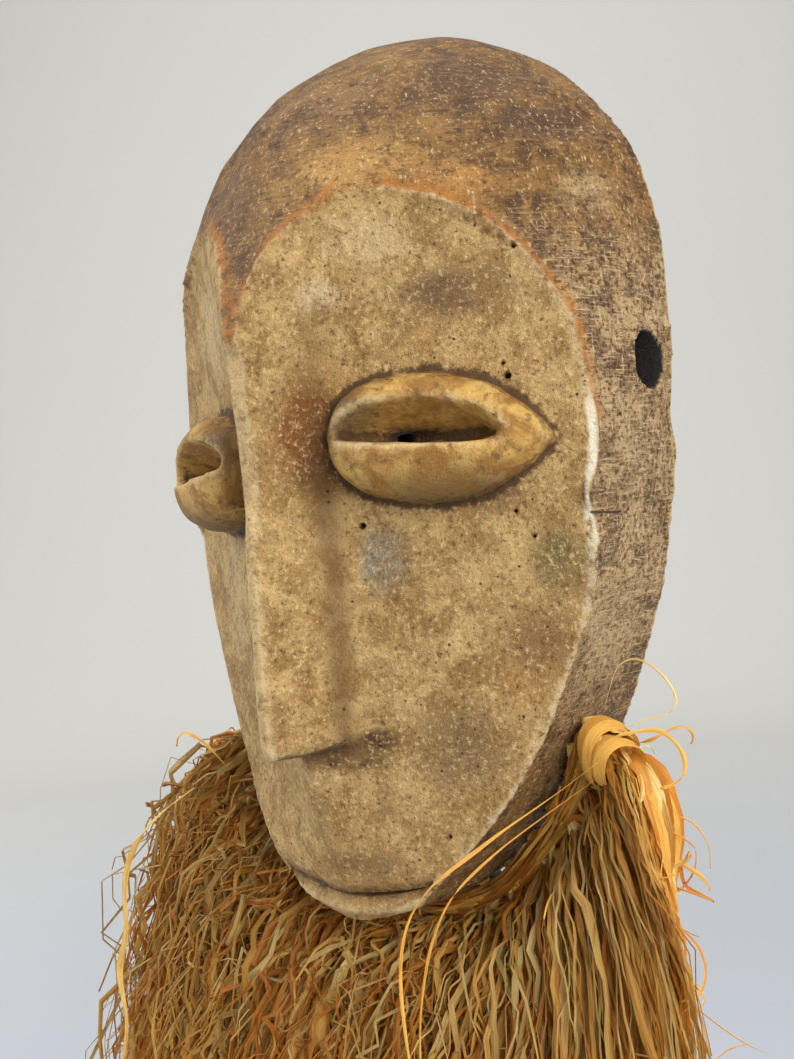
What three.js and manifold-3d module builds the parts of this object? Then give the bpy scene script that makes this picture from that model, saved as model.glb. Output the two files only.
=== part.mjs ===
// A carved wooden mask with a raffia beard, held upright on a steel rod in a flat foot.
// Millimetres, +Z up. The mask looks along -Y and X runs to the viewer's right. The origin is
// the middle of the foot's underside. The mask and beard are modelled in the mask's own frame:
// y = 0 is the plane of its open back, z = 0 is the underside of its chin.
import * as THREE from "three";
import { mergeVertices } from "three/addons/utils/BufferGeometryUtils.js";
import Module from "manifold-3d";

const wasm = await Module();
wasm.setup();

// Wooden shell
const MASK_HEIGHT = 310;
const MASK_HALF_WIDTH = 96.3;
const MASK_DEPTH = 111.6;
const WALL = 11;
const SHELL_LEVELS = 26;
const SHELL_SIDES = 26;
const HOLLOW_LEVELS = 16;
const HOLLOW_SIDES = 18;
const SHELL_END_SHARE = 0.0012;
const HOLLOW_END_SHARE = 0.002;
const CHEEK_WALL = 11.9;
const CROWN_ROUNDING = 7;

// Carved face: two flat-faced cheeks that meet in a ridge, sunk below the brow
const BROW_STEP = 3.6;
const CHEEK_STEP = 1.8;
const CHEEK_DISH = 1.6;
const FACE_ROWS = 24;
const CHEEK_COLUMNS = 6;
const NOSE_COLUMNS = 3;
const NOSE_HALF_WIDTH = 19;
const NOSE_CREST_HALF_WIDTH = 1.7;
const NOSE_TIP_HEIGHT = 60;
const NOSE_TIP_RISE = 5;
const NOSE_TIP_BLEND = 25;
const NOSE_BLOCK_FOOT = 56;
const NOSE_BLOCK_TOP = 165;
const NOSE_BLOCK_DEPTH = 40;
const FACE_CUT_REACH = 40;
const FACE_FOOT_SHARE = -0.02;
const FACE_EDGE_TURN_SHARES = [0.35, 0.372, 0.4];
const NOSE_TIP_ROW_GAP = 0.0005;
const NOSE_BLEND_LOW = 2;
const NOSE_BLEND_HIGH = 15;
const NOSE_BLEND_SHARES = [0.42, 0.68];
const SINK_SHARES = [0.42, 0.48];
const STEP_SHARES = [0.55, 0.72];

// Eyes: long pods with a slit right through the wood
const EYE_OFFSET = 48.7;
const EYE_HEIGHT = 159;
const EYE_HALF_LENGTH = 36;
const EYE_HALF_OPENING = 20.5;
const EYE_PROUD = 19;
const EYE_LEFT_DROP = 4.5;
const EYE_TILT = THREE.MathUtils.degToRad(-4);
const EYE_ROOT = 6.6;
const POD_LEVELS = 12;
const POD_SIDES = 14;
const POD_END_SHARE = 0.995;
const POD_POINTEDNESS = 0.72;
const LID_HALF_LENGTH = 30.3;
const LID_HALF_HEIGHT = 9.9;
const LID_REACH = 6;
const SCOOP_HALF_LENGTH = 25.9;
const SCOOP_HALF_HEIGHT = 5.3;
const SCOOP_OUT = 11.8;
const SLIT_HALF_LENGTH = 19;
const SLIT_HALF_HEIGHT = 2.8;
const SLIT_OUT = -1;
const SLIT_SIDES = 16;
const SLIT_ROUNDNESS = 0.9;

// Mouth slit at the very tip of the chin
const MOUTH_HALF_WIDTH = 30;
const MOUTH_HEIGHT = 10;
const MOUTH_RISE_RIGHT = 4.5;
const MOUTH_RISE_LEFT = 3.5;
const MOUTH_GAP = 2.4;
const MOUTH_END_GAP = 0.3;
const MOUTH_CUT_DEPTH = 6;
const MOUTH_END_DEPTH = 1;
const MOUTH_CUT_REACH = 12;
const MOUTH_STEPS = 14;

// Holes in the side band at ear level
const EAR_HOLE_RADIUS = 8.5;
const EAR_HOLE_BACK = 13;
const EAR_HOLE_HEIGHT = 180;
const EAR_HOLE_LENGTH = 60;
const EAR_HOLE_STRETCH = 1.07;
const EAR_HOLE_SIDES = 14;

// Raffia beard, tied in bundles through holes along the jaw
const TUFT_COUNT = 14;
const TUFT_BACK = 28;
const TUFT_TOP = 64;
const TIE_HOLE_RADIUS = 3;
const TIE_HOLE_DEPTH = 26.4;
const TIE_CLEARANCE = 0.4;
const TIE_HEAD_RADIUS = 3.7;
const TIE_HEAD_LENGTH = 5;
const TIE_HEAD_DEPTH = 16;
const TIE_TWIST = 0.16;
const TIE_SIDES = 8;
const KNOT_FOOT_RADIUS = 4.6;
const KNOT_NECK_RADIUS = 5.8;
const KNOT_LENGTH = 11;
const JAW_STEPS = 160;
const BEARD_DROP = 172;
const BEARD_REACH_RIGHT = 104;
const BEARD_REACH_LEFT = 160;
const BEARD_FRONT = 95;
const BEARD_BACK_RIGHT = 38;
const BEARD_BACK_LEFT = 60;
const BEARD_THICKNESS = 32;
const BEARD_SPRING_RIGHT = 32;
const BEARD_SPRING_LEFT = 56;
const BEARD_SPRING_SIDE = 16;
const BEARD_SPRING_CHIN = 44;
const BEARD_SHOULDER = 12;
const BEARD_STEPS = 24;
const TUFT_LEVELS = 6;
const TUFT_SIDES = 10;
const TUFT_GAP = 0.7;
const TUFT_FLUTE = 0.13;
const TUFT_UNEVEN = 0.05;
const TUFT_UNEVEN_TURN = 2.4;
const TUFT_FILL = 1.7;
const TUFT_SQUARENESS = 0.75;

// Stand: a round rod in a square foot
const FOOT_SIDE = 160;
const FOOT_THICKNESS = 10;
const FOOT_EDGE = 1;
const FOOT_FORWARD = 45;
const ROD_RADIUS = 4;
const ROD_TIP_RADIUS = 5.5;
const ROD_FORWARD = 25;
const ROD_SOCKET_DEPTH = 8;
const ROD_BEND_START = 40;
const ROD_BEND_END = 112;
const FIT_GAP = 0.4;
const CHIN_HEIGHT = 240;

const WOOD = new THREE.MeshStandardMaterial({ color: 0x9c7d55, roughness: 0.72, metalness: 0 });
const RAFFIA = new THREE.MeshStandardMaterial({ color: 0xb9803f, roughness: 0.8, metalness: 0 });
const STEEL = new THREE.MeshStandardMaterial({ color: 0x17181a, roughness: 0.45, metalness: 0.6 });

const lerp = THREE.MathUtils.lerp;
const clamp = THREE.MathUtils.clamp;
const smooth = (low, high, value) => THREE.MathUtils.smoothstep(value, low, high);

// A smooth curve through a few points, with no overshoot between them
function through(points) {
  const last = points.length - 1;
  const slope = (i) => (points[i + 1][1] - points[i][1]) / (points[i + 1][0] - points[i][0]);
  const tangents = points.map((point, i) => {
    if (i === 0) return slope(0);
    if (i === last) return slope(last - 1);
    const before = slope(i - 1);
    const after = slope(i);
    return before * after <= 0 ? 0 : (2 * before * after) / (before + after);
  });
  return (value) => {
    const v = clamp(value, points[0][0], points[last][0]);
    let i = 0;
    while (i < last - 1 && v > points[i + 1][0]) i += 1;
    const width = points[i + 1][0] - points[i][0];
    const t = (v - points[i][0]) / width;
    const rise = points[i][1] * (1 + 2 * t) * (1 - t) ** 2 + points[i + 1][1] * t * t * (3 - 2 * t);
    return rise + width * t * (1 - t) * (tangents[i] * (1 - t) - tangents[i + 1] * t);
  };
}

// Shares of the mask's height against shares of its half width, squared so that the ends are round
const widthShare = through([
  [0, 0], [0.026, 0.085], [0.08, 0.228], [0.161, 0.428], [0.258, 0.64], [0.371, 0.854],
  [0.484, 0.973], [0.597, 1], [0.694, 0.994], [0.79, 0.879], [0.871, 0.62], [0.935, 0.332],
  [0.977, 0.108], [1, 0],
]);
// The same for how far the shell stands forward in the mid-plane
const depthShare = through([
  [0, 0.44], [0.032, 0.53], [0.161, 0.8], [0.484, 0.955], [0.626, 1], [0.694, 0.93],
  [0.774, 0.712], [0.855, 0.535], [0.919, 0.317], [0.968, 0.109], [1, 0],
]);
// How square a level section is: 2 is an ellipse, less has a ridge in the middle
const squareness = through([
  [0, 6], [0.174, 6], [0.29, 5], [0.435, 2.5], [0.558, 2.3], [0.68, 1.85], [0.765, 1.72],
  [0.871, 1.65], [1, 1.65],
]);
const halfWidthAt = (z) => MASK_HALF_WIDTH * Math.sqrt(Math.max(widthShare(z / MASK_HEIGHT), 0));
const depthAt = (z) => MASK_DEPTH * Math.sqrt(Math.max(depthShare(z / MASK_HEIGHT), 0));

// How far a level section stands forward, with its middle ridge rounded off
function sectionForward(x, halfWidth, forward, power) {
  const soften = (value) => Math.hypot(value, CROWN_ROUNDING) - CROWN_ROUNDING;
  const share = clamp(soften(x) / Math.max(soften(halfWidth), 1e-6), 0, 1);
  return forward * (1 - share ** power) ** (1 / power);
}

// How far the outside of the shell stands forward at a place on the front
function shellForward(x, z) {
  return sectionForward(x, halfWidthAt(z), depthAt(z), squareness(z / MASK_HEIGHT));
}

// Face surface: the cheeks' plane, the nose and the step down from the brow
const ridgeForward = through([
  [0, 0.66], [0.035, 0.699], [0.113, 0.771], [0.194, 0.815], [0.323, 0.842], [0.5, 0.86],
  [0.765, 0.89],
]);
const cheekSlope = through([
  [0, 0.12], [0.035, 0.17], [0.113, 0.39], [0.174, 0.49], [0.29, 0.53], [0.5, 0.55], [0.765, 0.55],
]);
const noseCrest = through([
  [0.194, 0.968], [0.21, 0.986], [0.345, 0.989], [0.45, 0.983], [0.56, 0.977], [0.63, 0.987],
  [0.765, 0.985],
]);
const noseSlope = through([
  [0.2, 1.8], [0.35, 1.52], [0.45, 1.46], [0.55, 1.3], [0.65, 1.12], [0.765, 1.0],
]);

// The face's edge on each half: a cusp at the bridge, the brow arc, then down past the jaw
const browInner = through([
  [0.613, 0], [0.629, 0.031], [0.665, 0.05], [0.697, 0.082], [0.72, 0.13], [0.742, 0.19],
  [0.7625, 0.3],
]);
const browOuter = through([
  [0, 1.08], [0.33, 1.04], [0.372, 0.97], [0.4, 0.915], [0.44, 0.912], [0.48, 0.934], [0.52, 0.94],
  [0.565, 0.934], [0.6, 0.92], [0.635, 0.893], [0.66, 0.857], [0.69, 0.808], [0.715, 0.745],
  [0.735, 0.67], [0.753, 0.58], [0.7665, 0.46],
]);
const FACE_TOP_SHARE = 0.7665;
const HOLLOW_FREE_SHARE = 0.7965;
const CUSP_SHARE = 0.613;

// The nose's underside climbs from its crest to its creases
function noseTipAt(x) {
  return NOSE_TIP_HEIGHT + NOSE_TIP_RISE * Math.min(Math.abs(x) / NOSE_HALF_WIDTH, 1);
}

function faceForward(x, z) {
  const share = z / MASK_HEIGHT;
  const side = Math.abs(x);
  const across = clamp(side / (MASK_HALF_WIDTH * browOuter(share)), 0, 1);
  const dish = CHEEK_DISH * 4 * across * (1 - across);
  const cheek = MASK_DEPTH * ridgeForward(share) - cheekSlope(share) * side - dish;
  if (z < noseTipAt(x)) return cheek;
  const fall = noseSlope(share) * Math.max(side - NOSE_CREST_HALF_WIDTH, 0);
  const nose = MASK_DEPTH * noseCrest(share) - fall;
  const blend = lerp(NOSE_BLEND_LOW, NOSE_BLEND_HIGH, smooth(...NOSE_BLEND_SHARES, share));
  const joined = (cheek + nose + Math.hypot(cheek - nose, blend)) / 2;
  const face = Math.min(joined, MASK_DEPTH * noseCrest(share));
  const step = lerp(CHEEK_STEP, BROW_STEP, smooth(...STEP_SHARES, share));
  const sunk = shellForward(x, z) - step;
  return lerp(face, Math.min(face, sunk), smooth(...SINK_SHARES, share));
}

// Solids
function toSolid(geometry) {
  const bare = geometry.index ? geometry.toNonIndexed() : geometry;
  const only = new THREE.BufferGeometry();
  only.setAttribute("position", bare.getAttribute("position"));
  const merged = mergeVertices(only, 1e-3);
  const index = [];
  const source = merged.getIndex().array;
  for (let i = 0; i < source.length; i += 3) {
    const [a, b, c] = [source[i], source[i + 1], source[i + 2]];
    if (a !== b && b !== c && c !== a) index.push(a, b, c);
  }
  const vertProperties = new Float32Array(merged.getAttribute("position").array);
  return new wasm.Manifold(new wasm.Mesh({
    numProp: 3,
    vertProperties,
    triVerts: new Uint32Array(index),
  }));
}

// A closed solid from a geometry whose faces may all point in
function orient(geometry) {
  const solid = toSolid(geometry);
  if (solid.volume() > 0) return solid;
  const position = geometry.getAttribute("position");
  for (let i = 0; i < position.count; i += 3) {
    const second = new THREE.Vector3().fromBufferAttribute(position, i + 1);
    const third = new THREE.Vector3().fromBufferAttribute(position, i + 2);
    position.setXYZ(i + 1, third.x, third.y, third.z);
    position.setXYZ(i + 2, second.x, second.y, second.z);
  }
  return toSolid(geometry);
}

function toGeometry(solid) {
  const mesh = solid.getMesh();
  const geometry = new THREE.BufferGeometry();
  geometry.setAttribute("position", new THREE.BufferAttribute(mesh.vertProperties, 3));
  geometry.setIndex(new THREE.BufferAttribute(mesh.triVerts, 1));
  geometry.computeVertexNormals();
  return geometry;
}

// Skins a closed body over rings of points that have equal counts, with a fan at each end
function loft(rings) {
  const positions = [];
  const triangle = (a, b, c) => positions.push(...a.toArray(), ...b.toArray(), ...c.toArray());
  const middle = (ring) => ring.reduce((sum, p) => sum.add(p), new THREE.Vector3())
    .divideScalar(ring.length);
  const count = rings[0].length;
  for (let level = 0; level < rings.length - 1; level += 1) {
    for (let i = 0; i < count; i += 1) {
      const next = (i + 1) % count;
      triangle(rings[level][i], rings[level][next], rings[level + 1][next]);
      triangle(rings[level][i], rings[level + 1][next], rings[level + 1][i]);
    }
  }
  const first = middle(rings[0]);
  const end = middle(rings[rings.length - 1]);
  for (let i = 0; i < count; i += 1) {
    const next = (i + 1) % count;
    triangle(rings[0][next], rings[0][i], first);
    triangle(rings[rings.length - 1][i], rings[rings.length - 1][next], end);
  }
  const geometry = new THREE.BufferGeometry();
  geometry.setAttribute("position", new THREE.Float32BufferAttribute(positions, 3));
  return geometry;
}

// A solid from rings that may run either way round
function loftSolid(rings) {
  return orient(loft(rings));
}

// Levels that crowd together towards both ends
const crowded = (i, count) => 0.5 - 0.5 * Math.cos((Math.PI * i) / count);

function shellRing(z, halfWidth, forward, power, sides, back, limit) {
  const ring = [];
  for (let i = 0; i <= sides; i += 1) {
    const angle = (Math.PI * i) / sides;
    const x = halfWidth * Math.sign(Math.cos(angle)) * Math.abs(Math.cos(angle)) ** (2 / power);
    const reach = sectionForward(x, halfWidth, forward, power);
    ring.push(new THREE.Vector3(x, -Math.max(Math.min(reach, limit(x)), 0), z));
  }
  ring.push(new THREE.Vector3(-halfWidth, back, z), new THREE.Vector3(halfWidth, back, z));
  return ring;
}

function makeShell() {
  const rings = [];
  for (let i = 0; i <= SHELL_LEVELS; i += 1) {
    const share = lerp(SHELL_END_SHARE, 1 - SHELL_END_SHARE, crowded(i, SHELL_LEVELS));
    const z = share * MASK_HEIGHT;
    const power = squareness(share);
    rings.push(shellRing(z, halfWidthAt(z), depthAt(z), power, SHELL_SIDES, 0.001, () => Infinity));
  }
  return loftSolid(rings);
}

// The lower nose stands in front of the shell's curve, so its wood is added before the carving
function makeNoseBlock() {
  const height = NOSE_BLOCK_TOP - NOSE_BLOCK_FOOT;
  const block = new THREE.BoxGeometry(2 * NOSE_HALF_WIDTH, NOSE_BLOCK_DEPTH, height);
  block.translate(0, NOSE_BLOCK_DEPTH / 2 - MASK_DEPTH, (NOSE_BLOCK_TOP + NOSE_BLOCK_FOOT) / 2);
  return toSolid(block);
}

// The hollow keeps WALL behind the outside and behind the cheeks
function hollowSection(z) {
  const outside = MASK_HEIGHT / 2 + ((z - MASK_HEIGHT / 2) * MASK_HEIGHT) / (MASK_HEIGHT - 2 * WALL);
  return {
    halfWidth: halfWidthAt(outside) * (1 - WALL / MASK_HALF_WIDTH),
    forward: depthAt(outside) * (1 - WALL / MASK_DEPTH),
    power: squareness(outside / MASK_HEIGHT),
  };
}

function hollowLimit(x, z) {
  const share = z / MASK_HEIGHT;
  const cheek = MASK_DEPTH * ridgeForward(share) - cheekSlope(share) * Math.abs(x);
  return share > HOLLOW_FREE_SHARE ? Infinity : cheek - CHEEK_DISH - CHEEK_WALL;
}

function makeHollow() {
  const rings = [];
  for (let i = 0; i <= HOLLOW_LEVELS; i += 1) {
    const share = lerp(HOLLOW_END_SHARE, 1 - HOLLOW_END_SHARE, crowded(i, HOLLOW_LEVELS));
    const z = lerp(WALL, MASK_HEIGHT - WALL, share);
    const { halfWidth, forward, power } = hollowSection(z);
    rings.push(shellRing(z, halfWidth, forward, power, HOLLOW_SIDES, 2, (x) => hollowLimit(x, z)));
  }
  return loftSolid(rings);
}

// Columns across half the face: the crest, the nose's side, its crease, then the cheek
function faceColumns(inner, outer) {
  const columns = [inner];
  const crest = Math.max(inner, NOSE_CREST_HALF_WIDTH);
  const crease = Math.max(crest + 1, Math.min(NOSE_HALF_WIDTH, lerp(crest, outer, 0.5)));
  for (let i = 0; i <= NOSE_COLUMNS; i += 1) {
    columns.push(lerp(crest + 0.01, crease, i / NOSE_COLUMNS));
  }
  for (let i = 1; i <= CHEEK_COLUMNS; i += 1) {
    columns.push(lerp(crease, outer, i / CHEEK_COLUMNS));
  }
  return columns;
}

// Removes the wood in front of one half of the face
function makeFaceCut(side) {
  const front = MASK_DEPTH + FACE_CUT_REACH;
  const rows = [];
  for (let i = 0; i <= FACE_ROWS; i += 1) {
    rows.push(lerp(FACE_FOOT_SHARE, FACE_TOP_SHARE, i / FACE_ROWS));
  }
  const tip = NOSE_TIP_HEIGHT / MASK_HEIGHT;
  rows.push(tip - NOSE_TIP_ROW_GAP, tip + NOSE_TIP_ROW_GAP, CUSP_SHARE, ...FACE_EDGE_TURN_SHARES);
  rows.sort((a, b) => a - b);
  const rings = rows.map((share) => {
    const z = share * MASK_HEIGHT;
    const inner = share < CUSP_SHARE ? 0 : MASK_HALF_WIDTH * browInner(share);
    const outer = MASK_HALF_WIDTH * browOuter(share);
    const nearTip = Math.max(1 - Math.abs(z - NOSE_TIP_HEIGHT) / NOSE_TIP_BLEND, 0);
    const ring = [];
    for (const x of faceColumns(inner, outer)) {
      const level = z + (noseTipAt(x) - NOSE_TIP_HEIGHT) * nearTip;
      ring.push(new THREE.Vector3(side * x, -faceForward(x, level), level));
    }
    ring.push(new THREE.Vector3(side * outer, -front, z), new THREE.Vector3(side * inner, -front, z));
    return ring;
  });
  return loftSolid(rings);
}

// Places a shape made in an eye's own frame: u along it, v up it, w out of the cheek
function placeOnCheek(geometry, side) {
  const height = side > 0 ? EYE_HEIGHT : EYE_HEIGHT - EYE_LEFT_DROP;
  const slope = cheekSlope(EYE_HEIGHT / MASK_HEIGHT);
  const out = new THREE.Vector3(side * slope, -1, 0).normalize();
  const along = new THREE.Vector3(side, slope, 0).normalize();
  const up = new THREE.Vector3(0, 0, 1);
  along.applyAxisAngle(out, side * EYE_TILT);
  up.applyAxisAngle(out, side * EYE_TILT);
  const forward = MASK_DEPTH * ridgeForward(EYE_HEIGHT / MASK_HEIGHT) - slope * EYE_OFFSET;
  const matrix = new THREE.Matrix4().makeBasis(along, up, out);
  matrix.setPosition(side * EYE_OFFSET, -forward, height);
  return geometry.applyMatrix4(matrix);
}

// The pod: round across, drawn out to a point at each end
function makeEyePod(side) {
  const rings = [];
  for (let i = 0; i <= POD_LEVELS; i += 1) {
    const along = lerp(-POD_END_SHARE, POD_END_SHARE, crowded(i, POD_LEVELS));
    const swell = (1 - along * along) ** POD_POINTEDNESS;
    const ring = [];
    for (let k = 0; k < POD_SIDES; k += 1) {
      const angle = (2 * Math.PI * k) / POD_SIDES;
      const v = EYE_HALF_OPENING * swell * Math.cos(angle);
      const w = EYE_PROUD * Math.sqrt(swell) * Math.sin(angle);
      ring.push(new THREE.Vector3(along * EYE_HALF_LENGTH, v, Math.max(w, -EYE_ROOT)));
    }
    rings.push(ring);
  }
  return orient(placeOnCheek(loft(rings), side));
}

function makeSlit(side) {
  const ringAt = (w, halfLength, halfHeight) => {
    const ring = [];
    for (let k = 0; k < SLIT_SIDES; k += 1) {
      const angle = (2 * Math.PI * k) / SLIT_SIDES;
      const round = Math.abs(Math.sin(angle)) ** SLIT_ROUNDNESS * Math.sign(Math.sin(angle));
      ring.push(new THREE.Vector3(halfLength * Math.cos(angle), halfHeight * round, w));
    }
    return ring;
  };
  const rings = [
    ringAt(-WALL * 4, SLIT_HALF_LENGTH, SLIT_HALF_HEIGHT),
    ringAt(SLIT_OUT, SLIT_HALF_LENGTH, SLIT_HALF_HEIGHT),
    ringAt(SCOOP_OUT, SCOOP_HALF_LENGTH, SCOOP_HALF_HEIGHT),
    ringAt(EYE_PROUD + LID_REACH, LID_HALF_LENGTH, LID_HALF_HEIGHT),
  ];
  return orient(placeOnCheek(loft(rings), side));
}

// The mouth follows the chin's curve and is cut a few millimetres into the wood
function makeMouth() {
  const rings = [];
  for (let i = 0; i <= MOUTH_STEPS; i += 1) {
    const across = lerp(-1, 1, i / MOUTH_STEPS);
    const x = across * MOUTH_HALF_WIDTH;
    const rise = across > 0 ? MOUTH_RISE_RIGHT : MOUTH_RISE_LEFT;
    const z = MOUTH_HEIGHT + rise * across * across;
    const opening = Math.sqrt(Math.max(1 - across * across, 0));
    const half = (MOUTH_END_GAP + MOUTH_GAP * opening) / 2;
    const surface = -faceForward(x, z);
    const front = surface - MOUTH_CUT_REACH;
    const bottom = surface + lerp(MOUTH_CUT_DEPTH, MOUTH_END_DEPTH, across * across);
    rings.push([
      new THREE.Vector3(x, front, z - half),
      new THREE.Vector3(x, bottom, z - half / 2),
      new THREE.Vector3(x, bottom, z + half / 2),
      new THREE.Vector3(x, front, z + half),
    ]);
  }
  return loftSolid(rings);
}

function makeEarHole(side) {
  const hole = new THREE.CylinderGeometry(
    EAR_HOLE_RADIUS, EAR_HOLE_RADIUS, EAR_HOLE_LENGTH, EAR_HOLE_SIDES,
  );
  hole.rotateZ(Math.PI / 2);
  hole.scale(1, 1, EAR_HOLE_STRETCH);
  hole.translate(side * MASK_HALF_WIDTH, -EAR_HOLE_BACK, EAR_HOLE_HEIGHT);
  return toSolid(hole);
}

// The line of holes along the jaw, from the far side under the chin to the near side
function makeJawLine() {
  const line = [];
  for (let i = 0; i <= JAW_STEPS; i += 1) {
    const z = TUFT_TOP * (i / JAW_STEPS) ** 2;
    const power = squareness(z / MASK_HEIGHT);
    const reach = (1 - (TUFT_BACK / depthAt(z)) ** power) ** (1 / power);
    line.push(new THREE.Vector3(halfWidthAt(z) * reach, -TUFT_BACK, z));
  }
  const left = line.slice(1).reverse().map((p) => new THREE.Vector3(-p.x, p.y, p.z));
  const jaw = new THREE.CatmullRomCurve3([...left, ...line]);
  jaw.arcLengthDivisions = 400;
  return jaw;
}

// The beard's lower edge, a wide bow under the mask
function makeBeardLine() {
  const points = [];
  for (let i = 0; i <= BEARD_STEPS; i += 1) {
    const swing = lerp(-Math.PI / 2, Math.PI / 2, i / BEARD_STEPS);
    const reach = swing > 0 ? BEARD_REACH_RIGHT : BEARD_REACH_LEFT;
    const back = swing > 0 ? BEARD_BACK_RIGHT : BEARD_BACK_LEFT;
    const y = -lerp(back, BEARD_FRONT, Math.cos(swing));
    points.push(new THREE.Vector3(reach * Math.sin(swing), y, -BEARD_DROP));
  }
  return new THREE.CatmullRomCurve3(points);
}

const jawLine = makeJawLine();
const beardLine = makeBeardLine();

// Where a tuft leaves the jaw: a place on the band's outside and the way out of the wood
function anchorAt(share) {
  const point = jawLine.getPointAt(share);
  const tangent = jawLine.getTangentAt(share);
  const out = new THREE.Vector3(tangent.z, 0, -tangent.x).normalize();
  return { share, point, tangent, out };
}

// The middle of the hanging hair: share runs along the jaw, fall from the knots to the tips
function hairPoint(share, fall) {
  const place = clamp(share, 0, 1);
  const { point, out } = anchorAt(place);
  const foot = beardLine.getPointAt(place);
  const knotEnd = point.clone().addScaledVector(out, KNOT_LENGTH);
  const chinward = smooth(0.45, 1, -out.z);
  const bend = knotEnd.clone().add(new THREE.Vector3(
    out.x * lerp(BEARD_SPRING_LEFT, BEARD_SPRING_RIGHT, place),
    -lerp(BEARD_SPRING_SIDE, BEARD_SPRING_CHIN, chinward),
    -BEARD_SHOULDER,
  ));
  return new THREE.QuadraticBezierCurve3(knotEnd, bend, foot).getPoint(fall);
}

function hairNormal(share, fall) {
  const step = 0.004;
  const along = hairPoint(share + step, fall).sub(hairPoint(share - step, fall));
  const down = hairPoint(share, fall + step).sub(hairPoint(share, fall - step));
  return along.cross(down).normalize();
}

function makeTieHole(anchor) {
  const hole = new THREE.CylinderGeometry(
    TIE_HOLE_RADIUS, TIE_HOLE_RADIUS, TIE_HOLE_DEPTH, TIE_SIDES,
  );
  hole.applyQuaternion(new THREE.Quaternion().setFromUnitVectors(
    new THREE.Vector3(0, 1, 0),
    anchor.out,
  ));
  const inward = (WALL - TIE_HOLE_DEPTH) / 2;
  const middle = anchor.point.clone().addScaledVector(anchor.out, inward);
  hole.translate(middle.x, middle.y, middle.z);
  return toSolid(hole);
}

// One bundle: a head inside the wood, a neck through the hole, a knot, then the hanging hair
function makeTuft(anchor, index) {
  const { share, point, tangent, out } = anchor;
  const back = new THREE.Vector3(0, 1, 0);
  const rings = [];
  const angles = [];
  for (let k = 0; k < TUFT_SIDES; k += 1) angles.push((2 * Math.PI * k) / TUFT_SIDES);
  const round = (along, radius) => {
    const centre = point.clone().addScaledVector(out, along);
    const twist = rings.length % 2 ? 0 : TIE_TWIST;
    rings.push(angles.map((angle) => centre.clone()
      .addScaledVector(tangent, radius * Math.cos(angle + twist))
      .addScaledVector(back, radius * Math.sin(angle + twist))));
  };
  const neck = TIE_HOLE_RADIUS - TIE_CLEARANCE;
  const inside = -TIE_HEAD_DEPTH;
  round(inside - TIE_HEAD_LENGTH, TIE_HEAD_RADIUS);
  round(inside, neck);
  round(TIE_CLEARANCE * 2, neck);
  round(TIE_CLEARANCE * 3, KNOT_FOOT_RADIUS);
  round(KNOT_LENGTH * 0.4, KNOT_NECK_RADIUS);

  const uneven = TUFT_UNEVEN * Math.sin(index * TUFT_UNEVEN_TURN);
  const halfShare = 0.5 / TUFT_COUNT;
  for (let level = 0; level <= TUFT_LEVELS; level += 1) {
    const fall = (level / TUFT_LEVELS) * (1 + uneven);
    const span = hairPoint(share + halfShare, fall).distanceTo(hairPoint(share - halfShare, fall));
    const reach = halfShare * (1 - (2 * TUFT_GAP) / span);
    const swell = Math.sin(Math.min(fall * TUFT_FILL, Math.PI / 2));
    const halfThick = lerp(KNOT_NECK_RADIUS, BEARD_THICKNESS / 2, swell);
    rings.push(angles.map((angle, k) => {
      const flute = 1 - TUFT_FLUTE * (k % 2) * smooth(0.05, 0.3, fall);
      const spread = Math.sign(Math.cos(angle)) * Math.abs(Math.cos(angle)) ** TUFT_SQUARENESS;
      const place = share + reach * flute * spread;
      return hairPoint(place, fall)
        .addScaledVector(hairNormal(place, fall), halfThick * flute * Math.sin(angle));
    }));
  }
  return loftSolid(rings);
}

function makeMask(anchors) {
  let solid = makeShell().add(makeNoseBlock());
  solid = solid.subtract(makeFaceCut(1).add(makeFaceCut(-1)));
  for (const side of [-1, 1]) solid = solid.add(makeEyePod(side));
  solid = solid.subtract(makeHollow());
  for (const side of [-1, 1]) {
    solid = solid.subtract(makeSlit(side));
    solid = solid.subtract(makeEarHole(side));
  }
  solid = solid.subtract(makeMouth());
  for (const anchor of anchors) solid = solid.subtract(makeTieHole(anchor));
  return solid;
}

// The rod stands behind the chin, bends forward into the hollow and bears under the crown
function hollowTopAt(back) {
  let low = MASK_HEIGHT / 2;
  let high = MASK_HEIGHT - WALL;
  for (let i = 0; i < 40; i += 1) {
    const z = (low + high) / 2;
    if (hollowSection(z).forward > back) low = z;
    else high = z;
  }
  return low;
}

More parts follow.
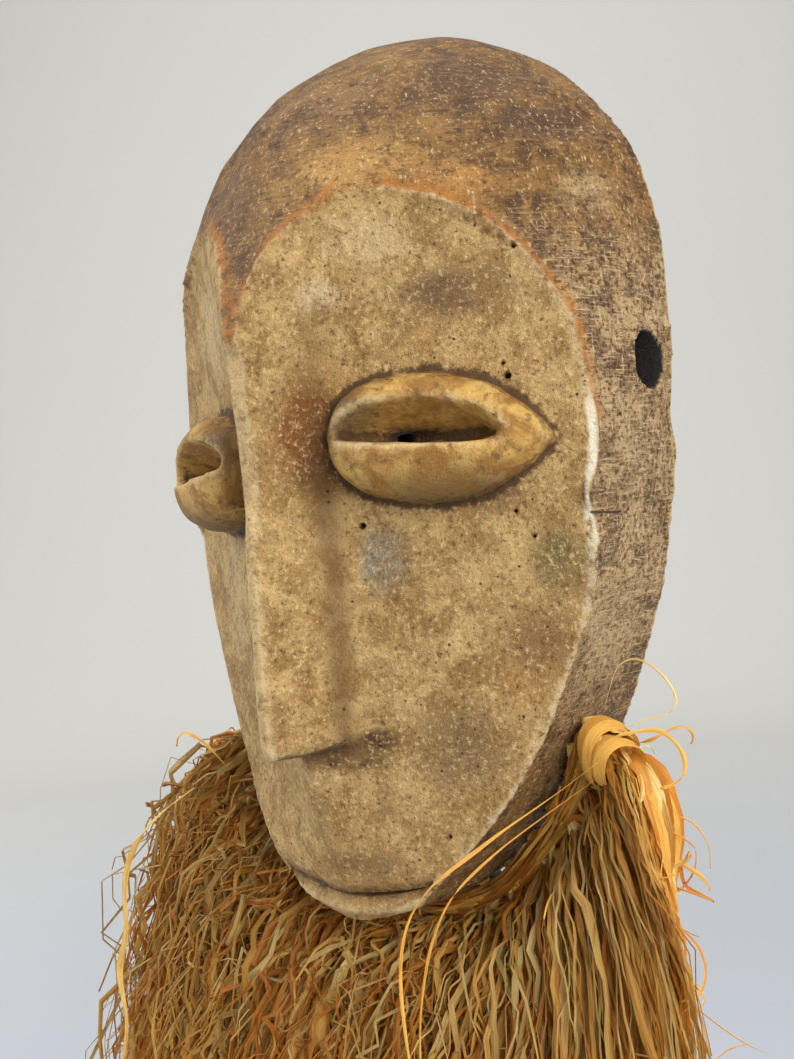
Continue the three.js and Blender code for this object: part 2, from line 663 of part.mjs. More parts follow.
function makeRod() {
  const behind = ROD_RADIUS + FIT_GAP;
  const foot = FOOT_THICKNESS - ROD_SOCKET_DEPTH - CHIN_HEIGHT + FIT_GAP;
  const tip = hollowTopAt(ROD_FORWARD + ROD_TIP_RADIUS) - ROD_TIP_RADIUS - FIT_GAP;
  const line = new THREE.CurvePath();
  const at = (y, z) => new THREE.Vector3(0, y, z);
  line.add(new THREE.LineCurve3(at(behind, foot), at(behind, ROD_BEND_START)));
  line.add(new THREE.CubicBezierCurve3(
    at(behind, ROD_BEND_START),
    at(behind, lerp(ROD_BEND_START, ROD_BEND_END, 0.45)),
    at(-ROD_FORWARD, lerp(ROD_BEND_START, ROD_BEND_END, 0.55)),
    at(-ROD_FORWARD, ROD_BEND_END),
  ));
  line.add(new THREE.LineCurve3(at(-ROD_FORWARD, ROD_BEND_END), at(-ROD_FORWARD, tip)));
  const section = new THREE.Shape();
  section.absarc(0, 0, ROD_RADIUS, 0, Math.PI * 2);
  const path = new THREE.CatmullRomCurve3([
    ...[0, 0.5].map((t) => line.curves[0].getPoint(t)),
    ...[0, 0.2, 0.4, 0.6, 0.8, 1].map((t) => line.curves[1].getPoint(t)),
    ...[0.5, 1].map((t) => line.curves[2].getPoint(t)),
  ]);
  const rod = new THREE.ExtrudeGeometry(section, {
    steps: 24, curveSegments: 6, bevelEnabled: false, extrudePath: path,
  });
  const cap = new THREE.SphereGeometry(ROD_TIP_RADIUS, 12, 8);
  cap.rotateX(Math.PI / 2);
  cap.translate(0, -ROD_FORWARD, tip);
  return orient(rod).add(toSolid(cap));
}

function makeFoot() {
  const half = FOOT_SIDE / 2 - FOOT_EDGE;
  const outline = new THREE.Shape();
  outline.moveTo(-half, -half);
  outline.lineTo(half, -half);
  outline.lineTo(half, half);
  outline.lineTo(-half, half);
  outline.closePath();
  const plate = new THREE.ExtrudeGeometry(outline, {
    depth: FOOT_THICKNESS - 2 * FOOT_EDGE,
    bevelEnabled: true,
    bevelSize: FOOT_EDGE,
    bevelThickness: FOOT_EDGE,
    bevelSegments: 1,
  });
  plate.translate(0, 0, FOOT_EDGE);
  const socket = new THREE.CylinderGeometry(ROD_RADIUS + FIT_GAP, ROD_RADIUS + FIT_GAP, 40, 24);
  socket.rotateX(Math.PI / 2);
  const behind = FOOT_FORWARD + ROD_RADIUS + FIT_GAP;
  socket.translate(0, behind, FOOT_THICKNESS - ROD_SOCKET_DEPTH + 20);
  return toSolid(plate).subtract(toSolid(socket));
}

function named(name, solid, material) {
  const mesh = new THREE.Mesh(toGeometry(solid), material);
  mesh.name = name;
  return mesh;
}

const anchors = [];
for (let i = 0; i < TUFT_COUNT; i += 1) anchors.push(anchorAt((i + 0.5) / TUFT_COUNT));

const carried = new THREE.Group();
carried.position.set(0, FOOT_FORWARD, CHIN_HEIGHT);
carried.add(named("mask", makeMask(anchors), WOOD));
anchors.forEach((anchor, i) => {
  const number = String(i + 1).padStart(2, "0");
  carried.add(named(`raffia_tuft_${number}`, makeTuft(anchor, i), RAFFIA));
});
carried.add(named("stand_rod", makeRod(), STEEL));

const maskOnStand = new THREE.Group();
maskOnStand.add(carried, named("stand_foot", makeFoot(), STEEL));

export default maskOnStand;
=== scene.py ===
"""A carved wooden mask with a raffia beard, standing on a steel rod in a flat foot.

Everything is in metres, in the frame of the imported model: +Z up, the mask looks along -Y.
The mask's own frame, used by the carving functions, is in millimetres: y = 0 is the plane of
its open back, z = 0 the underside of its chin.
"""
import math

import bpy
import numpy as np
from mathutils import Matrix, Vector, kdtree, noise


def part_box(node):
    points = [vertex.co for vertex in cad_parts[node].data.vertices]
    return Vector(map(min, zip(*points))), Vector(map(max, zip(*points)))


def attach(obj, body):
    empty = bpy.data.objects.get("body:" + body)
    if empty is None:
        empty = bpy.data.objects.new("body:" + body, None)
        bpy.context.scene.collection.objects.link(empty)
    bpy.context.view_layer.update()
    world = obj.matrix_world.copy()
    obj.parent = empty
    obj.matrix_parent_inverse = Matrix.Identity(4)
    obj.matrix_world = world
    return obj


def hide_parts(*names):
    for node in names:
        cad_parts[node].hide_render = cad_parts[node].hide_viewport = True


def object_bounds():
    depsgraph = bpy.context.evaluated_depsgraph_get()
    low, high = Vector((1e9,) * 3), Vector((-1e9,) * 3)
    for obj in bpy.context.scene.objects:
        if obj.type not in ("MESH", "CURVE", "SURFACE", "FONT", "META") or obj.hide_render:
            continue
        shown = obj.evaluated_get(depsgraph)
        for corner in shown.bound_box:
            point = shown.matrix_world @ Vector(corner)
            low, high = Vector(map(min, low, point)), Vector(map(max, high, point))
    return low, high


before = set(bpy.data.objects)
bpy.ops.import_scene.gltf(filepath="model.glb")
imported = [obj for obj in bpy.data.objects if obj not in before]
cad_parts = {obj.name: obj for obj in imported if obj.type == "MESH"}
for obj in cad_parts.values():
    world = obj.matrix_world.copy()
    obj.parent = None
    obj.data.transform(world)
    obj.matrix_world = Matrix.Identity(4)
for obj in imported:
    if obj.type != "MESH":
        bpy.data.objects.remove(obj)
CAD_BOX = [list(corner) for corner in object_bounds()]
MM = 0.001

# Place of the mask's own frame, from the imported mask
MASK_HEIGHT = 310.0
MASK_HALF_WIDTH = 96.3
MASK_DEPTH = 111.6
WALL = 11.0
CHEEK_WALL = WALL * 1.08
SHELL_END = 0.0012
mask_low, mask_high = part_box("mask")
CHIN_Z = mask_low.z / MM - SHELL_END * MASK_HEIGHT
RIM_Y = mask_high.y / MM


def to_row(points):
    """Mask-frame millimetres to row-frame metres."""
    return (np.asarray(points, float) + np.array([0.0, RIM_Y, CHIN_Z])) * MM


def srgb(red, green, blue):
    """A colour given as it looks on screen, 0 to 255, as the linear values that shaders take."""
    def one(value):
        value /= 255
        return value / 12.92 if value <= 0.04045 else ((value + 0.055) / 1.055) ** 2.4
    return (one(red), one(green), one(blue), 1.0)


# Camera, at the photograph's viewing angle
CAMERA_AZIMUTH = 39.1
CAMERA_ELEVATION = 0.9
CAMERA_ROLL = -4.5
CAMERA_DISTANCE = 466.8
CAMERA_SLIDE_RIGHT = 17.5
CAMERA_SLIDE_UP = -23.0
FOCAL_PIXELS = 1358.7
PHOTO_HEIGHT_PIXELS = 1059
SENSOR_MM = 36.0
AIM = np.array([0.0, -60.0, 155.0])


def make_camera():
    azimuth, elevation, roll = (
        math.radians(v) for v in (CAMERA_AZIMUTH, CAMERA_ELEVATION, CAMERA_ROLL)
    )
    back = Vector((
        math.sin(azimuth) * math.cos(elevation),
        -math.cos(azimuth) * math.cos(elevation),
        math.sin(elevation),
    ))
    right = Vector((math.cos(azimuth), math.sin(azimuth), 0))
    up = back.cross(right)
    turned_right = right * math.cos(roll) + up * math.sin(roll)
    turned_up = up * math.cos(roll) - right * math.sin(roll)
    place = Vector(AIM) + back * CAMERA_DISTANCE
    place += turned_right * CAMERA_SLIDE_RIGHT + turned_up * CAMERA_SLIDE_UP
    data = bpy.data.cameras.new("camera")
    data.sensor_fit = "VERTICAL"
    data.sensor_height = SENSOR_MM
    data.lens = FOCAL_PIXELS / PHOTO_HEIGHT_PIXELS * SENSOR_MM
    data.clip_start = 0.02
    camera = bpy.data.objects.new("camera", data)
    turn = Matrix((turned_right, turned_up, back)).transposed().to_4x4()
    camera.matrix_world = Matrix.Translation(Vector(to_row(place))) @ turn
    bpy.context.scene.collection.objects.link(camera)
    bpy.context.scene.camera = camera


# Curves that describe the carving, as shares of the mask's height

def through(*points):
    """A smooth curve through a few points, with no overshoot between them."""
    xs, ys = (np.array(v, float) for v in zip(*points))
    slopes = np.diff(ys) / np.diff(xs)
    before, after = slopes[:-1], slopes[1:]
    total = np.where(before + after == 0, 1.0, before + after)
    inner = np.where(before * after > 0, 2 * before * after / total, 0.0)
    tangents = np.concatenate([[slopes[0]], inner, [slopes[-1]]])

    def curve(value):
        v = np.clip(np.asarray(value, float), xs[0], xs[-1])
        i = np.clip(np.searchsorted(xs, v, side="left") - 1, 0, len(xs) - 2)
        width = xs[i + 1] - xs[i]
        t = (v - xs[i]) / width
        rise = ys[i] * (1 + 2 * t) * (1 - t) ** 2 + ys[i + 1] * t * t * (3 - 2 * t)
        return rise + width * t * (1 - t) * (tangents[i] * (1 - t) - tangents[i + 1] * t)
    return curve


width_share = through(
    (0, 0), (0.026, 0.085), (0.08, 0.228), (0.161, 0.428), (0.258, 0.64), (0.371, 0.854),
    (0.484, 0.973), (0.597, 1), (0.694, 0.994), (0.79, 0.879), (0.871, 0.62), (0.935, 0.332),
    (0.977, 0.108), (1, 0),
)
depth_share = through(
    (0, 0.44), (0.032, 0.53), (0.161, 0.8), (0.484, 0.955), (0.626, 1), (0.694, 0.93),
    (0.774, 0.712), (0.855, 0.535), (0.919, 0.317), (0.968, 0.109), (1, 0),
)
squareness = through(
    (0, 6), (0.174, 6), (0.29, 5), (0.435, 2.5), (0.558, 2.3), (0.68, 1.85), (0.765, 1.72),
    (0.871, 1.65), (1, 1.65),
)
ridge_forward = through(
    (0, 0.66), (0.035, 0.699), (0.113, 0.771), (0.194, 0.815), (0.323, 0.842), (0.5, 0.86),
    (0.765, 0.89),
)
cheek_slope = through(
    (0, 0.12), (0.035, 0.17), (0.113, 0.39), (0.174, 0.49), (0.29, 0.53), (0.5, 0.55),
    (0.765, 0.55),
)
nose_crest = through(
    (0.194, 0.968), (0.21, 0.986), (0.345, 0.989), (0.45, 0.983), (0.56, 0.977),
    (0.63, 0.987), (0.765, 0.985),
)
nose_slope = through(
    (0.2, 1.8), (0.35, 1.52), (0.45, 1.46), (0.55, 1.3), (0.65, 1.12), (0.765, 1.0),
)
brow_inner = through(
    (0.613, 0), (0.629, 0.031), (0.665, 0.05), (0.697, 0.082), (0.72, 0.13), (0.742, 0.19),
    (0.7625, 0.3),
)
brow_outer = through(
    (0, 1.08), (0.33, 1.04), (0.372, 0.97), (0.4, 0.915), (0.44, 0.912), (0.48, 0.934),
    (0.52, 0.94), (0.565, 0.934), (0.6, 0.92), (0.635, 0.893), (0.66, 0.857), (0.69, 0.808),
    (0.715, 0.745), (0.735, 0.67), (0.753, 0.58), (0.7665, 0.46),
)
FACE_TOP = 0.7665
CUSP = 0.613
CROWN_ROUNDING = 7.0
BROW_STEP = 3.6
CHEEK_STEP = 1.8
CHEEK_DISH = 1.6
NOSE_CREST_HALF_WIDTH = 1.7
NOSE_HALF_WIDTH = 19.0
NOSE_TIP_HEIGHT = 60.0
NOSE_TIP_RISE = 5.0
NOSE_TIP_BLEND = 25.0
NOSE_BLOCK_FOOT = 56.0
NOSE_BLOCK_TOP = 165.0
NOSE_BLOCK_DEPTH = 40.0
NOSE_BLEND_LOW, NOSE_BLEND_HIGH = 2.0, 15.0
NOSE_BLEND_SHARES = (0.42, 0.68)
SINK_SHARES = (0.42, 0.48)
STEP_SHARES = (0.55, 0.72)


def smooth(low, high, value):
    t = np.clip((np.asarray(value, float) - low) / (high - low), 0, 1)
    return t * t * (3 - 2 * t)


def mix(a, b, t):
    return a + (b - a) * t


def half_width_at(z):
    return MASK_HALF_WIDTH * np.sqrt(np.maximum(width_share(z / MASK_HEIGHT), 0))


def depth_at(z):
    return MASK_DEPTH * np.sqrt(np.maximum(depth_share(z / MASK_HEIGHT), 0))


def section_forward(x, half_width, forward, power):
    def soften(value):
        return np.hypot(value, CROWN_ROUNDING) - CROWN_ROUNDING
    share = np.clip(soften(x) / np.maximum(soften(half_width), 1e-6), 0, 1)
    return forward * (1 - share ** power) ** (1 / power)


def shell_forward(x, z):
    return section_forward(x, half_width_at(z), depth_at(z), squareness(z / MASK_HEIGHT))


def nose_tip_at(x):
    """The nose's underside climbs from its crest to its creases."""
    return NOSE_TIP_HEIGHT + NOSE_TIP_RISE * np.minimum(np.abs(x) / NOSE_HALF_WIDTH, 1)


def face_forward(x, z):
    """How far the carved face stands in front of the rim's plane."""
    share = z / MASK_HEIGHT
    side = np.abs(x)
    across = np.clip(side / (MASK_HALF_WIDTH * brow_outer(share)), 0, 1)
    dish = CHEEK_DISH * 4 * across * (1 - across)
    cheek = MASK_DEPTH * ridge_forward(share) - cheek_slope(share) * side - dish
    fall = nose_slope(share) * np.maximum(side - NOSE_CREST_HALF_WIDTH, 0)
    nose = MASK_DEPTH * nose_crest(share) - fall
    blend = mix(NOSE_BLEND_LOW, NOSE_BLEND_HIGH, smooth(*NOSE_BLEND_SHARES, share))
    joined = (cheek + nose + np.hypot(cheek - nose, blend)) / 2
    face = np.minimum(joined, MASK_DEPTH * nose_crest(share))
    step = mix(CHEEK_STEP, BROW_STEP, smooth(*STEP_SHARES, share))
    sunk = shell_forward(x, z) - step
    face = mix(face, np.minimum(face, sunk), smooth(*SINK_SHARES, share))
    return np.where(z < nose_tip_at(x), cheek, face)


# Mesh building

def mesh_object(name, vertices, faces):
    mesh = bpy.data.meshes.new(name)
    mesh.from_pydata([tuple(v) for v in vertices], [], [tuple(f) for f in faces])
    mesh.update()
    obj = bpy.data.objects.new(name, mesh)
    bpy.context.scene.collection.objects.link(obj)
    return obj


def loft(name, rings):
    """A closed body over rings of points (levels, points, 3), with a fan at each end."""
    rings = np.asarray(rings, float)
    levels, count = rings.shape[:2]
    vertices = np.vstack([rings.reshape(-1, 3), rings[0].mean(0), rings[-1].mean(0)])
    i = np.arange(count)
    n = (i + 1) % count
    faces = []
    for level in range(levels - 1):
        a, b = level * count, (level + 1) * count
        faces += np.stack([a + i, a + n, b + n, b + i], 1).tolist()
    first, last = levels * count, levels * count + 1
    top = (levels - 1) * count
    faces += np.stack([n, i, np.full(count, first)], 1).tolist()
    faces += np.stack([top + i, top + n, np.full(count, last)], 1).tolist()
    if signed_volume(vertices, faces) < 0:
        faces = [face[::-1] for face in faces]
    return mesh_object(name, to_row(vertices), faces)


def signed_volume(vertices, faces):
    total = 0.0
    for face in faces:
        a = vertices[face[0]]
        for k in range(1, len(face) - 1):
            total += np.dot(a, np.cross(vertices[face[k]], vertices[face[k + 1]]))
    return total


def combine(body, tool, operation):
    modifier = body.modifiers.new("combine", "BOOLEAN")
    modifier.operation = operation
    modifier.solver = "MANIFOLD"
    modifier.object = tool
    graph = bpy.context.evaluated_depsgraph_get()
    result = bpy.data.meshes.new_from_object(body.evaluated_get(graph))
    body.modifiers.clear()
    body.data = result
    bpy.data.objects.remove(tool)
    return body


def crowded(count):
    return 0.5 - 0.5 * np.cos(np.pi * np.arange(count + 1) / count)


def shell_rings(levels, half_widths, forwards, powers, sides, back, limit=None):
    rings = []
    angle = np.pi * np.arange(sides + 1) / sides
    for z, half, forward, power in zip(levels, half_widths, forwards, powers):
        spread = np.sign(np.cos(angle)) * np.abs(np.cos(angle)) ** (2 / power)
        # Even steps along the section as well, so that no stretch is left coarse
        x = half * (0.5 * spread + 0.5 * np.cos(angle))
        x[0], x[-1] = half, -half
        reach = section_forward(x, half, forward, power)
        if limit is not None:
            reach = np.minimum(reach, limit(x, z))
        ring = np.stack([x, -np.maximum(reach, 0), np.full(len(x), z)], 1)
        rings.append(np.vstack([ring, [[-half, back, z], [half, back, z]]]))
    return rings


HOLLOW_FREE_SHARE = 0.03
SHELL_LEVELS = 210
SHELL_SIDES = 190
HOLLOW_LEVELS = 80
HOLLOW_SIDES = 70


def make_shell():
    share = mix(SHELL_END, 1 - SHELL_END, mix(crowded(SHELL_LEVELS),
                np.linspace(0, 1, SHELL_LEVELS + 1), 0.6))
    z = share * MASK_HEIGHT
    rings = shell_rings(z, half_width_at(z), depth_at(z), squareness(share), SHELL_SIDES, 0.001)
    return loft("mask_carved", rings)


def make_nose_block():
    """Wood for the lower nose, which stands in front of the shell's curve."""
    rings = [
        [[side * NOSE_HALF_WIDTH, y, z] for side, y in (
            (-1, -MASK_DEPTH), (1, -MASK_DEPTH),
            (1, NOSE_BLOCK_DEPTH - MASK_DEPTH), (-1, NOSE_BLOCK_DEPTH - MASK_DEPTH),
        )]
        for z in (NOSE_BLOCK_FOOT, NOSE_BLOCK_TOP)
    ]
    return loft("nose_block", rings)


def hollow_limit(x, z):
    share = z / MASK_HEIGHT
    if share > FACE_TOP + HOLLOW_FREE_SHARE:
        return np.full_like(x, 1e3)
    cheek = MASK_DEPTH * ridge_forward(share) - cheek_slope(share) * np.abs(x)
    return cheek - CHEEK_DISH - CHEEK_WALL


def make_hollow():
    share = mix(0.002, 0.998, crowded(HOLLOW_LEVELS))
    z = mix(WALL, MASK_HEIGHT - WALL, share)
    middle = MASK_HEIGHT / 2
    outside = middle + (z - middle) * MASK_HEIGHT / (MASK_HEIGHT - 2 * WALL)
    half = half_width_at(outside) * (1 - WALL / MASK_HALF_WIDTH)
    forward = depth_at(outside) * (1 - WALL / MASK_DEPTH)
    rings = shell_rings(z, half, forward, squareness(outside / MASK_HEIGHT), HOLLOW_SIDES, 2,
                        hollow_limit)
    return loft("hollow", rings)


FACE_ROWS = 200
FACE_FOOT = -0.02
FACE_CUT_REACH = 40.0
NOSE_TIP_ROW_GAP = 0.0004
NOSE_COLUMNS = 22
CHEEK_COLUMNS = 50


def make_face_cut(side):
    shares = list(np.linspace(FACE_FOOT, FACE_TOP, FACE_ROWS))
    tip = NOSE_TIP_HEIGHT / MASK_HEIGHT
    shares = [s for s in shares if abs(s - tip) > 0.002]
    shares = np.array(sorted(shares + [tip - NOSE_TIP_ROW_GAP, tip + NOSE_TIP_ROW_GAP, CUSP]))
    rings = []
    for share in shares:
        z = share * MASK_HEIGHT
        inner = 0.0 if share < CUSP else float(MASK_HALF_WIDTH * brow_inner(share))
        outer = float(MASK_HALF_WIDTH * brow_outer(share))
        crest = max(inner, NOSE_CREST_HALF_WIDTH)
        crease = max(crest + 1, min(NOSE_HALF_WIDTH, mix(crest, outer, 0.5)))
        x = np.concatenate([
            [inner],
            np.linspace(crest + 0.01, crease, NOSE_COLUMNS + 1),
            np.linspace(crease, outer, CHEEK_COLUMNS + 1)[1:],
        ])
        near_tip = max(1 - abs(z - NOSE_TIP_HEIGHT) / NOSE_TIP_BLEND, 0)
        level = z + (nose_tip_at(x) - NOSE_TIP_HEIGHT) * near_tip
        front = -MASK_DEPTH - FACE_CUT_REACH
        ring = np.stack([side * x, -face_forward(x, level), level], 1)
        ends = [[side * outer, front, z], [side * inner, front, z]]
        rings.append(np.vstack([ring, ends]))
    return loft("face_cut", rings)


# Eyes: long pods with a slit right through

EYE_OFFSET = 48.7
EYE_HEIGHT = 159.0
EYE_HALF_LENGTH = 36.0
EYE_HALF_OPENING = 20.5
EYE_PROUD = 19.0
EYE_LEFT_DROP = 4.5
EYE_TILT = math.radians(-4)
pod_height = through(
    (-1, 0), (-0.97, 0.3), (-0.85, 0.63), (-0.55, 0.9), (-0.1, 1), (0.35, 0.88),
    (0.7, 0.52), (0.9, 0.22), (1, 0.03),
)
pod_proud = through(
    (-1, 0), (-0.97, 0.45), (-0.85, 0.78), (-0.5, 0.97), (-0.1, 1), (0.4, 0.88), (0.75, 0.6),
    (0.92, 0.34), (1, 0.05),
)


def eye_frame(side):
    """Middle of an eye on the cheek, and its directions along, up and out of the cheek."""
    slope = float(cheek_slope(EYE_HEIGHT / MASK_HEIGHT))
    out = Vector((side * slope, -1, 0)).normalized()
    along = Vector((side, slope, 0)).normalized()
    up = Vector((0, 0, 1))
    tilt = Matrix.Rotation(side * EYE_TILT, 3, out)
    along, up = tilt @ along, tilt @ up
    forward = MASK_DEPTH * float(ridge_forward(EYE_HEIGHT / MASK_HEIGHT)) - slope * EYE_OFFSET
    height = EYE_HEIGHT if side > 0 else EYE_HEIGHT - EYE_LEFT_DROP
    middle = Vector((side * EYE_OFFSET, -forward, height))
    return [np.array(v) for v in (middle, along, up, out)]


def place_on_cheek(rings, side):
    middle, along, up, out = eye_frame(side)
    u, v, w = (rings[..., k : k + 1] for k in range(3))
    return middle + u * along + v * up + w * out


POD_SIDES = 56
POD_LEVELS = 64
POD_SQUARENESS = 2.5


def make_eye_pod(side):
    angle = 2 * np.pi * np.arange(POD_SIDES) / POD_SIDES
    rings = []
    for share in mix(-0.998, 0.995, crowded(POD_LEVELS)):
        high = EYE_HALF_OPENING * float(pod_height(share))
        proud = EYE_PROUD * float(pod_proud(share))
        cosine, sine = np.cos(angle), np.sin(angle)
        power = 2 / POD_SQUARENESS
        v = high * np.sign(cosine) * np.abs(cosine) ** power
        w = proud * np.sign(sine) * np.abs(sine) ** power
        w = np.maximum(w, -WALL * 0.5)
        rings.append(np.stack([np.full(POD_SIDES, share * EYE_HALF_LENGTH), v, w], 1))
    return loft("eye_pod", place_on_cheek(np.array(rings), side))


SLIT_SIDES = 48
# Height over the cheek, inner end, outer end, reach below and above the slit's line
SLIT_SECTIONS = (
    (-WALL * 4, -20, 12.5, 1.9, 1.9),
    (-4, -20, 12.5, 1.9, 1.9),
    (1, -25, 13.5, 1.9, 3.6),
    (6, -30.5, 16.5, 1.8, 7.0),
    (12, -33.8, 20, 1.7, 10.6),
    (17, -35.2, 22, 2.0, 12.6),
    (26, -37, 24, 3.4, 16),
)


def make_slit(side):
    """The opening between the lids: a scoop under the upper lid that narrows to a slit."""
    angle = 2 * np.pi * np.arange(SLIT_SIDES) / SLIT_SIDES
    rings = []
    for w, inner, outer, below, above in SLIT_SECTIONS:
        cosine, sine = np.cos(angle), np.sin(angle)
        u = (inner + outer) / 2 + (outer - inner) / 2 * cosine
        height = np.where(sine > 0, above, below)
        v = height * np.sign(sine) * np.abs(sine) ** 0.85
        rings.append(np.stack([u, v, np.full(SLIT_SIDES, w)], 1))
    return loft("slit", place_on_cheek(np.array(rings), side))


MOUTH_HALF_WIDTH = 30.0
MOUTH_HEIGHT = 10.0
MOUTH_RISE_RIGHT = 4.5
MOUTH_RISE_LEFT = 3.5
MOUTH_GAP = 1.9


def mouth_level(x):
    across = x / MOUTH_HALF_WIDTH
    return MOUTH_HEIGHT + np.where(x > 0, MOUTH_RISE_RIGHT, MOUTH_RISE_LEFT) * across * across


def make_mouth():
    """A dark slit on the right half that runs out into a shallow groove on the left."""
    rings = []
    for across in np.linspace(-1, 1, 60):
        x = across * MOUTH_HALF_WIDTH
        z = float(mouth_level(x))
        opening = float(mix(0.3, 1.0, smooth(-6, 5, x)))
        ends = math.sqrt(max(1 - across * across, 0))
        half = 0.1 + 0.5 * MOUTH_GAP * opening * ends
        surface = -float(face_forward(x, z))
        bottom = surface + 0.8 + 5.0 * opening * ends
        rings.append([
            [x, surface - 6, z - half * 0.9], [x, bottom, z - half * 0.4],
            [x, bottom, z + half * 0.4], [x, surface - 6, z + half * 1.3],
        ])
    return loft("mouth", rings)


def rod_between(name, start, end, radius_start, radius_end, sides):
    start, end = np.array(start, float), np.array(end, float)
    run = Vector(end - start).normalized()
    across = np.array(run.orthogonal().normalized())
    other = np.cross(np.array(run), across)
    angle = 2 * np.pi * np.arange(sides) / sides
    circle = np.cos(angle)[:, None] * across + np.sin(angle)[:, None] * other
    return loft(name, [start + circle * radius_start, end + circle * radius_end])


EAR_HOLE_RADIUS = 8.5
EAR_HOLE_BACK = 13.0
EAR_HOLE_HEIGHT = 180.0
EAR_HOLE_SLANT = 0.62
EAR_HOLE_STRETCH = 1.07
EAR_HOLE_MOUTH = 97.0
EAR_HOLE_SIDES = 40


def ear_hole_back(x):
    """How far the hole's middle lies in front of the rim's plane; it slants inward."""
    return EAR_HOLE_BACK + EAR_HOLE_SLANT * (EAR_HOLE_MOUTH - x)


def make_ear_hole(side):
    angle = 2 * np.pi * np.arange(EAR_HOLE_SIDES) / EAR_HOLE_SIDES
    rings = []
    for x in (66, 84, 88, 94, 97, 99, 125):
        flare = 1.0 + 0.1 * float(smooth(94, 99, x))
        rings.append(np.stack([
            np.full(EAR_HOLE_SIDES, side * x),
            -ear_hole_back(x) + EAR_HOLE_RADIUS * flare * np.cos(angle),
            EAR_HOLE_HEIGHT + EAR_HOLE_RADIUS * EAR_HOLE_STRETCH * flare * np.sin(angle),
        ], 1))
    return loft("ear_hole", rings)


# Insect holes seen on the near cheek and brow: across, up, radius
INSECT_HOLES = (
    (68.5, 176.7, 1.1), (67.6, 180.6, 0.55), (23.6, 133.2, 1.0), (74.7, 215.8, 0.7),
    (66.8, 134.2, 0.6), (71.5, 125.9, 0.5), (39.5, 31.3, 0.7), (43.1, 168.4, 0.7),
)


def face_point(x, z):
    return np.array([x, -float(face_forward(x, z)), z])


def make_insect_holes():
    holes = []
    for x, z, radius in INSECT_HOLES:
        place = face_point(x, z)
        slope = float(cheek_slope(z / MASK_HEIGHT))
        out = np.array([math.copysign(slope, x), -1, 0.1])
        out /= np.linalg.norm(out)
        holes.append(rod_between("hole", place - out * 5, place + out * 5, radius, radius, 10))
    return holes


# The beard's layout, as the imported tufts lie
TUFT_COUNT = sum(1 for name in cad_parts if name.startswith("raffia_tuft_"))
TUFT_BACK = 28.0
TUFT_TOP = 64.0
TIE_HOLE_RADIUS = 3.0
TIE_HOLE_DEPTH = 20.0
TIE_HOLE_REACH = 6.0
KNOT_LENGTH = 11.0
KNOT_RADIUS = 6.4
BEARD_DROP = 172.0
BEARD_REACH_RIGHT = 104.0
BEARD_REACH_LEFT = 160.0
BEARD_FRONT = 95.0
BEARD_BACK_RIGHT = 38.0
BEARD_BACK_LEFT = 60.0
BEARD_THICKNESS = 32.0
BEARD_SPRING_RIGHT = 32.0
BEARD_SPRING_LEFT = 56.0
BEARD_SPRING_SIDE = 16.0
BEARD_SPRING_CHIN = 44.0
BEARD_SHOULDER = 12.0
LINE_STEPS = 400


def even_line(points, count):
    """Points at even steps along a polyline."""
    points = np.asarray(points, float)
    run = np.concatenate([[0], np.cumsum(np.linalg.norm(np.diff(points, axis=0), axis=1))])
    even = np.linspace(0, run[-1], count)
    return np.stack([np.interp(even, run, points[:, k]) for k in range(3)], 1)


def jaw_line():
    z = TUFT_TOP * (np.arange(LINE_STEPS + 1) / LINE_STEPS) ** 2
    power = squareness(z / MASK_HEIGHT)
    reach = (1 - (TUFT_BACK / depth_at(z)) ** power) ** (1 / power)
    right = np.stack([half_width_at(z) * reach, np.full(len(z), -TUFT_BACK), z], 1)
    left = right[:0:-1] * [-1, 1, 1]
    return even_line(np.vstack([left, right]), LINE_STEPS)


def beard_line():
    swing = np.linspace(-np.pi / 2, np.pi / 2, 120)
    reach = np.where(swing > 0, BEARD_REACH_RIGHT, BEARD_REACH_LEFT)
    back = np.where(swing > 0, BEARD_BACK_RIGHT, BEARD_BACK_LEFT)
    y = -mix(back, BEARD_FRONT, np.cos(swing))
    points = np.stack([reach * np.sin(swing), y, np.full(len(swing), -BEARD_DROP)], 1)
    return even_line(points, LINE_STEPS)


JAW = jaw_line()
BEARD = beard_line()
JAW_TANGENT = np.gradient(JAW, axis=0)
JAW_TANGENT /= np.linalg.norm(JAW_TANGENT, axis=1)[:, None]
JAW_OUT = np.stack([JAW_TANGENT[:, 2], np.zeros(LINE_STEPS), -JAW_TANGENT[:, 0]], 1)
JAW_OUT /= np.linalg.norm(JAW_OUT, axis=1)[:, None]


def along_line(line, share):
    place = np.clip(share, 0, 1) * (LINE_STEPS - 1)
    steps = np.arange(LINE_STEPS)
    return np.stack([np.interp(place, steps, line[:, k]) for k in range(3)], -1)


def hair_point(share, fall):
    """The middle of the hanging hair: share runs along the jaw, fall from knots to tips."""
    point, out = along_line(JAW, share), along_line(JAW_OUT, share)
    foot = along_line(BEARD, share)
    knot_end = point + out * KNOT_LENGTH
    chinward = smooth(0.45, 1, -out[..., 2])
    bend = knot_end + np.stack([
        out[..., 0] * mix(BEARD_SPRING_LEFT, BEARD_SPRING_RIGHT, np.clip(share, 0, 1)),
        -mix(BEARD_SPRING_SIDE, BEARD_SPRING_CHIN, chinward),
        np.full(out.shape[:-1], -BEARD_SHOULDER),
    ], -1)
    fall = np.asarray(fall)[..., None]
    return knot_end * (1 - fall) ** 2 + 2 * bend * fall * (1 - fall) + foot * fall * fall


def hair_normal(share, fall):
    step = 0.004
    along = hair_point(share + step, fall) - hair_point(share - step, fall)
    down = hair_point(share, fall + step) - hair_point(share, fall - step)
    normal = np.cross(along, down)
    return normal / np.maximum(np.linalg.norm(normal, axis=-1, keepdims=True), 1e-9)


